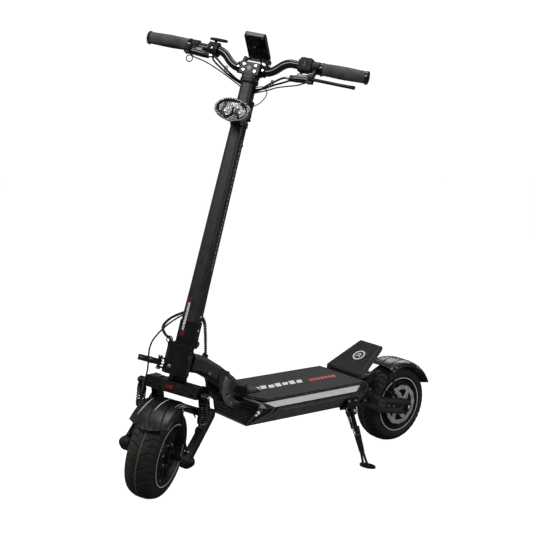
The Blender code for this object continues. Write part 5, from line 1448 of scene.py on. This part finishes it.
def throttle():
    z = GRIP_HEIGHT
    bands = [hoop(band(low, low + 0.0016, 0.0150, 0.0200), "x", (0, 0, z), 64) for low in (-0.1345, -0.1095)]
    piece("throttle_rings", join(*bands), "gloss", "stem")
    top = [(0.0262 * math.cos(math.tau * i / 48) - 0.1120, 0.0092 * math.sin(math.tau * i / 48) - 0.004)
           for i in range(48)]
    inner = [(-0.1120 + (x + 0.1120) * 0.80, -0.004 + (y + 0.004) * 0.62) for x, y in top]
    pad = skin([[(x, y, z + 0.0282) for x, y in top], [(x, y, z + 0.0290) for x, y in top],
                [(-0.1120 + (x + 0.1120) * 0.93, -0.004 + (y + 0.004) * 0.84, z + 0.0298) for x, y in top],
                [(x, y, z + 0.0296) for x, y in inner]])
    piece("throttle_pad", pad, "rubber", "throttle")
    heads = [bolt((-0.1210, -0.0195, z), (0, -1, 0), 0.0030, 0.0020)]
    piece("throttle_screws", join(*heads), "steel", "stem")


def lamp():
    """Oval lamp: bezel, two bowls with bulbs, a clear lens, and the band behind it."""
    centre = Vector((0.004, -0.072, 0.928))

    def oval(depth, size, count=64):
        return [centre + Vector((0.049 * size * math.cos(math.tau * i / count), depth,
                                 0.0305 * size * math.sin(math.tau * i / count))) for i in range(count)]
    rings = [oval(-0.0150, 1.005), oval(-0.0195, 1.010), oval(-0.0225, 0.975), oval(-0.0225, 0.915),
             oval(-0.0190, 0.880), oval(-0.0080, 0.855), oval(-0.0080, 0.950)]
    piece("lamp_bezel", skin([[ring[i] for ring in rings] for i in range(64)], closed=True), "chrome", "stem",
          smooth=60)
    groove = [oval(-0.0226, 0.968), oval(-0.0230, 0.955), oval(-0.0226, 0.940)]
    piece("lamp_bezel_line", skin([[ring[i] for ring in groove] for i in range(64)], closed=True), "plastic",
          "stem")
    back = skin([oval(-0.0068, 0.80), oval(-0.0090, 0.80)])
    piece("lamp_back", back, "edge", "stem")
    bowls, eyes, rims = [], [], []
    for x, size in ((-0.0185, 1.0), (0.0215, 0.92)):
        middle = centre + Vector((x, 0, 0))
        profile = [(-0.0092, 0.0050), (-0.0100, 0.0095), (-0.0130, 0.0150), (-0.0175, 0.0182),
                   (-0.0178, 0.0192), (-0.0165, 0.0192), (-0.0115, 0.0158), (-0.0090, 0.0100)]
        bowls.append(hoop([(a, r * size) for a, r in profile], "y", middle, 56))
        rims.append(hoop([(a, r * size) for a, r in ((-0.0176, 0.0180), (-0.0186, 0.0186),
                                                     (-0.0186, 0.0196), (-0.0172, 0.0198))], "y", middle, 56))
        eyes.append(turned([(-0.0088, 0.0052 * size), (-0.0130, 0.0050 * size), (-0.0148, 0.0036 * size),
                            (-0.0154, 0.0014 * size)], "y", middle, 28))
    piece("lamp_bowls", join(*bowls), "mirror", "stem", smooth=60)
    piece("lamp_rims", join(*rims), "plastic", "stem")
    piece("lamp_eyes", join(*eyes), "lamp", "stem", smooth=60)
    lens = [oval(-0.0195, 0.885), oval(-0.0215, 0.80), oval(-0.0232, 0.60), oval(-0.0238, 0.30),
            oval(-0.0240, 0.04)]
    lens += [oval(-0.0231, 0.04), oval(-0.0229, 0.30), oval(-0.0223, 0.60), oval(-0.0206, 0.80),
             oval(-0.0186, 0.885)]
    piece("lamp_lens", skin(lens), "lens", "stem", smooth=60)
    x, y = stem_slope(0.905)
    strap = skin([[(u, v, z) for u, v in rounded(x + grow, y + grow, 0.009)]
                  for z, grow in ((0.897, 0.0002), (0.8985, 0.0022), (0.9115, 0.0022), (0.913, 0.0002))])
    piece("lamp_band", strap, "plastic", "stem")
    arm = skin([[(u + 0.003, -0.0225 - d, v + 0.905 + d * 0.35) for u, v in rounded(0.0085, 0.0065, 0.002)]
                for d in (0.0, 0.010, 0.028)])
    piece("lamp_arm", arm, "alloy", "stem", bevel=0.0006)
    heads = [bolt((0.0150, -0.0245, 0.9045), (0.4, -1, 0), 0.0036, 0.0026),
             bolt((0.0120, -0.0500, 0.9150), (1, 0, 0), 0.0034, 0.0026)]
    piece("lamp_bolts", join(*heads), "chrome", "stem")


# ---------------------------------------------------------------- rear end and stand
def rear_end():
    seats = [SHOCK_FRONT.lerp(SHOCK_REAR, share) for share in (0.235, 0.78)]
    piece("rear_damper_coil", coil(*seats, 0.0152, 0.0024, 7), "spring", "rear_damper",
          stands_for=("rear_shock_spring",), mix=("rear_damper_rod", *seats), smooth=60)
    frames, heads, caps, lines = [], [], [], []
    knee = (0.345, 0.150)
    pivot, axle = (REAR_PIVOT.y, REAR_PIVOT.z), (REAR_AXLE.y, REAR_AXLE.z)
    for sign in (1, -1):
        face = sign * 0.0722
        outer = link(knee, 0.0205, axle, 0.0195)
        inner = link((0.366, 0.1465), 0.0105, (0.430, 0.1335), 0.0085)
        frames.append(across(perforated([outer, inner], 0.0022, 0.0007), face))
        outer = link(pivot, 0.0200, knee, 0.0205)
        inner = link((0.297, 0.1740), 0.0090, (0.325, 0.1600), 0.0090)
        frames.append(across(perforated([outer, inner], 0.0020, 0.0007), face))
        for y, z in ((0.345, 0.150), (0.3790, 0.1425), (0.4020, 0.1385)):
            heads.append(bolt((face + sign * 0.0008, y, z), (sign, 0, 0), 0.0034, 0.0020))
        caps.append(nut((sign * 0.0850, *axle), (sign, 0, 0), 0.0092, 0.0040))
        caps.append(nut((sign * 0.0925, *pivot), (sign, 0, 0), 0.0095, 0.0042))
        for y, z in ((0.2530, 0.2320), (0.2530, 0.1840), (0.2700, 0.2160)):
            heads.append(bolt((sign * 0.0892, y, z), (sign, 0, 0), 0.0036, 0.0024))
    # The arm rims take the lighter copy of the cast colour, a painted highlight.
    piece("rear_arm_frames", join(*frames), "cast_painted_highlight", "rear_suspension")
    arm_heads = heads[0:3] + heads[6:9]
    deck_heads = heads[3:6] + heads[9:12]
    piece("rear_arm_screws", join(*arm_heads), "steel", "rear_suspension")
    piece("rear_casting_screws", join(*deck_heads), "steel", "deck")
    piece("rear_axle_nuts", join(caps[0], caps[2]), "chrome", "rear_suspension", bevel=0.0004)
    piece("rear_pivot_nuts", join(caps[1], caps[3]), "black_steel", "deck", bevel=0.0004)
    caliper("rear_caliper", DECK, "rear_suspension", Vector((0, 0.408, 0.158)), 1)
    ribs = [box((x - 0.0016, 0.2500, 0.184), (x + 0.0016, 0.2535, 0.238))
            for x in (-0.052, -0.038, 0.038, 0.052)]
    piece("rear_casting_ribs", join(*ribs), "cast", "deck", bevel=0.0006)


def stand():
    hook = Vector((0.0160, -0.0330, 0.0050))
    spring_end = Vector((0.0160, -0.0270, -0.0500))
    anchor = Vector((0.0160, -0.0210, -0.44 * STAND_LENGTH + 0.0030))
    spring = coil(hook - Vector((0, 0, 0.004)), spring_end, 0.0050, 0.0013, 15, 14)
    piece("stand_coil", spring, "spring", "deck", stands_for=("kickstand_spring",), place=STAND,
          mix=("side_stand", hook, anchor), smooth=60)
    loop = [hook + Vector((0, 0, -0.003)), hook + Vector((0, 0, 0.004)), hook + Vector((0, 0.0045, 0.0080)),
            hook + Vector((0, 0.0115, 0.0100))]
    rod_path = [spring_end + Vector((0, 0, 0.003)), spring_end + Vector((0, 0.001, -0.020)),
                anchor + Vector((0, 0, 0.006)), anchor + Vector((0, -0.0045, 0.001)),
                anchor + Vector((0, -0.0035, -0.0055)), anchor + Vector((0, 0.0140, -0.0050))]
    piece("stand_spring_hook", swept(smooth_path(loop, 0.001), 0.0011, 10), "steel", "deck", place=STAND)
    piece("stand_spring_rod", swept(smooth_path(rod_path, 0.001), 0.0011, 10), "chrome", "deck", place=STAND,
          mix=("side_stand", spring_end, anchor))
    collars = [rod((0, 0, -share * STAND_LENGTH), (0, 0, -(share + 0.012) * STAND_LENGTH), radius, 32,
                   cap=0.0006) for share, radius in ((0.280, 0.0120), (0.745, 0.0088))]
    piece("stand_collars", join(*collars), "satin", "side_stand")
    heads = [bolt((sign * 0.0152, 0, 0), (sign, 0, 0), 0.0062, 0.0032) for sign in (1, -1)]
    heads += [bolt((0.0200, y, z), (1, 0, 0), 0.0036, 0.0024) for y, z in ((-0.016, 0.030), (0.012, 0.030))]
    piece("stand_bolts", join(*heads), "steel", "deck", place=STAND)


# ---------------------------------------------------------------- hoses and leads
def hoses():
    joint = (-0.0800, -0.0300, 0.2050)
    upper = ((-0.0228, 0.006, 0.366), (-0.0300, 0.006, 0.366), (-0.060, -0.008, 0.333),
             (-0.083, -0.024, 0.290), (-0.0885, -0.030, 0.258), (-0.083, -0.030, 0.222), joint)
    lower = (joint, (-0.0777, -0.0345, 0.186), (-0.0735, -0.050, 0.160), (-0.0665, -0.050, 0.122),
             (-0.0615, -0.020, 0.090), (-0.0545, 0.014, 0.066), (-0.0474, 0.0293, 0.0530),
             (-0.0472, 0.0295, 0.0468))
    line_between("brake_hose_front_upper", upper, 0.0023, STEERED, "rubber", "stem",
                 ("front_brake_hose_upper",), mix=("fork_body", upper[0], (-0.085, -0.028, 0.280)))
    line_between("brake_hose_front_lower", lower, 0.0023, STEERED, "rubber", "fork_body",
                 ("front_brake_hose_lower",), mix=("front_suspension", (-0.0780, -0.034, 0.190), lower[-1]))
    side = ((-0.0228, 0.012, 0.373), (-0.0310, 0.012, 0.373), (-0.060, 0.000, 0.350),
            (-0.069, -0.020, 0.325), (-0.052, -0.039, 0.308), (-0.0308, -0.0440, 0.2985),
            (-0.0306, -0.0440, 0.2900))
    line_between("loom_front_loop", side, 0.0036, STEERED, "rubber", "stem", ("loom_side",),
                 mix=("fork_body", side[0], side[-1]), ripple=(0.0034, 0.0006), spacing=0.0007, steps=16)
    meet = (0.0215, 0.0700, 0.3300)
    above = ((0.006, 0.0250, 0.378), (0.0062, 0.0330, 0.378), (0.016, 0.059, 0.356), meet)
    below = (meet, (0.0265, 0.0790, 0.300), (0.0318, 0.0815, 0.276), (0.0328, 0.0827, 0.2665))
    line_between("loom_rear_top", above, 0.0041, STEERED, "loom", "stem", ("loom_rear_upper",),
                 mix=("fork_body", above[0], above[-1]), ripple=(0.0052, 0.0016), spacing=0.0008, steps=16)
    line_between("loom_rear_bottom", below, 0.0041, STEERED, "loom", "fork_body",
                 ("loom_rear_lower",), mix=("deck", below[0], below[-1]), ripple=(0.0052, 0.0016),
                 spacing=0.0008, steps=16)
    cockpit_lines = (("brake_hose_right", ((-0.1105, -0.0299, 1.0666), (-0.098, -0.031, 1.064),
                                           (-0.078, -0.030, 1.050), (-0.055, -0.026, 1.034),
                                           (-0.035, -0.012, 1.022), (-0.0195, 0.004, 1.016)), 0.0029),
                     ("brake_hose_left", ((0.1105, -0.0299, 1.0466), (0.098, -0.031, 1.042),
                                          (0.080, -0.030, 1.030), (0.060, -0.022, 1.018),
                                          (0.038, -0.006, 1.006), (0.0190, 0.006, 1.000)), 0.0029),
                     ("throttle_lead", ((-0.120, -0.004, 1.0725), (-0.112, -0.008, 1.060),
                                        (-0.090, -0.016, 1.046), (-0.064, -0.014, 1.031),
                                        (-0.040, 0.000, 1.020), (-0.0195, 0.010, 1.012)), 0.0027),
                     ("pod_lead", ((0.138, -0.0100, 1.066), (0.130, -0.014, 1.052), (0.104, -0.018, 1.036),
                                   (0.074, -0.010, 1.024), (0.044, 0.004, 1.012), (0.0190, 0.011, 1.006)),
                      0.0027), ("brake_switch_lead_left", ((0.170, -0.040, 1.042), (0.150, -0.046, 1.030),
                                                           (0.118, -0.040, 1.022), (0.088, -0.026, 1.016),
                                                           (0.054, -0.006, 1.006), (0.0188, 0.002, 0.994)),
                                0.0018), ("brake_switch_lead_right", ((-0.170, -0.040, 1.062),
                                                                      (-0.152, -0.050, 1.052),
                                                                      (-0.120, -0.046, 1.046),
                                                                      (-0.090, -0.036, 1.036),
                                                                      (-0.052, -0.014, 1.020),
                                                                      (-0.0190, 0.006, 1.004)), 0.0018),
                     ("display_lead", ((0.006, 0.004, 1.098), (0.012, 0.020, 1.084), (0.016, 0.034, 1.062),
                                       (0.012, 0.036, 1.040), (0.008, 0.028, 1.018), (0.004, 0.0195, 1.004)),
                      0.0021), ("lamp_lead", ((0.0180, 0.006, 1.010), (0.040, 0.004, 1.016),
                                              (0.058, -0.008, 1.004), (0.060, -0.018, 0.984),
                                              (0.046, -0.020, 0.964), (0.0200, 0.000, 0.955)), 0.0014))
    for name, points, radius in cockpit_lines:
        line_between(name, points, radius, STEERED, "rubber", "stem", spacing=0.003)
    ring = hoop(circle((0, 0.0090), 0.0015, 8), "y", (-0.1650, -0.050, 1.0460), 40)
    piece("switch_ring", ring, "black_steel", "stem")
    ties = [hoop(band(-0.0014, 0.0014, 0.0085, 0.0094), "x", at, 32)
            for at in ((-0.066, -0.021, 1.0405), (0.070, -0.018, 1.0265))]
    piece("cable_ties", join(*ties), "plastic", "stem")


# Look, edge width in metres, edge steps, least angle in degrees, and the CAD nodes that get them.
DRESSED = (
    ("facet", 0.0009, 3, 20, ("deck_shell",)),
    ("alloy", 0.0006, 2, 34, ("deck_lid",)),
    ("mat", 0.0003, 2, 34, ("deck_mat",)),
    ("blue", 0.0010, 2, 34, ("battery_pack",)),
    ("alloy", 0.0010, 2, 34, ("motor_controller",)),
    ("panel", 0.0004, 2, 34, ("led_panel_left", "led_panel_right")),
    ("olive", 0.0022, 3, 20, ("neck",)),
    ("black_steel", 0.0006, 2, 34, ("headset_bearing_lower", "headset_bearing_upper")),
    ("plate", 0.0012, 3, 24, ("kickplate",)),
    ("fork", 0.0012, 3, 26, ("fork",)),
    ("satin", 0.0014, 3, 26, ("fold_base", "stem_knuckle")),
    ("cast", 0.0010, 3, 26, ("front_swing_arm",)),
    ("black_steel", 0.0008, 2, 34, ("front_axle", "fold_hook", "rear_axle")),
    ("alloy", 0.0008, 2, 34, ("front_caliper", "rear_caliper")),
    ("black_steel", 0.0014, 3, 34, ("fold_lever",)),
    ("stem", 0.0012, 3, 26, ("stem_tube",)),
    ("raw", 0.0009, 3, 34, ("bar_clamp",)),
    ("gloss", 0.0014, 3, 34, ("display",)),
    ("alloy", 0.0007, 2, 34, ("display_bracket",)),
    ("plastic", 0.0014, 3, 34, ("control_pod",)),
    ("plastic", 0.0010, 2, 34, ("throttle_housing",)),
    ("plastic", 0.0012, 3, 34, ("throttle_paddle",)),
    ("dark_red", 0.0005, 2, 34, ("horn_button",)),
    ("gloss", 0.0008, 2, 34, ("headlight",)),
    ("cast", 0.0012, 3, 26, ("rear_casting", "rear_swing_arm")),
    ("alloy", 0.0005, 2, 34, ("rear_shock_body",)),
    ("steel", 0.0005, 2, 34, ("rear_shock_shaft",)),
    ("black_steel", 0.0010, 3, 34, ("kickstand_bracket", "kickstand_leg")),
    ("alloy", 0.0010, 3, 34, ("brake_perch_left", "brake_perch_right")),
)

for part in (studio, deck, neck, kickplate, fenders, front_end, stem, cockpit, rear_end, stand, hoses):
    part()
for look, width, segments, angle, names in DRESSED:
    for name in names:
        dress(name, look, width, segments, angle)
tyre("front_tread", FRONT_HUB, "front_wheel", "front_tyre")
tyre("rear_tread", REAR_HUB, "rear_wheel", "rear_tyre")
wheel("front", FRONT_HUB, "front_wheel", -1)
wheel("rear", REAR_HUB, "rear_wheel", 1)

bpy.context.view_layer.update()
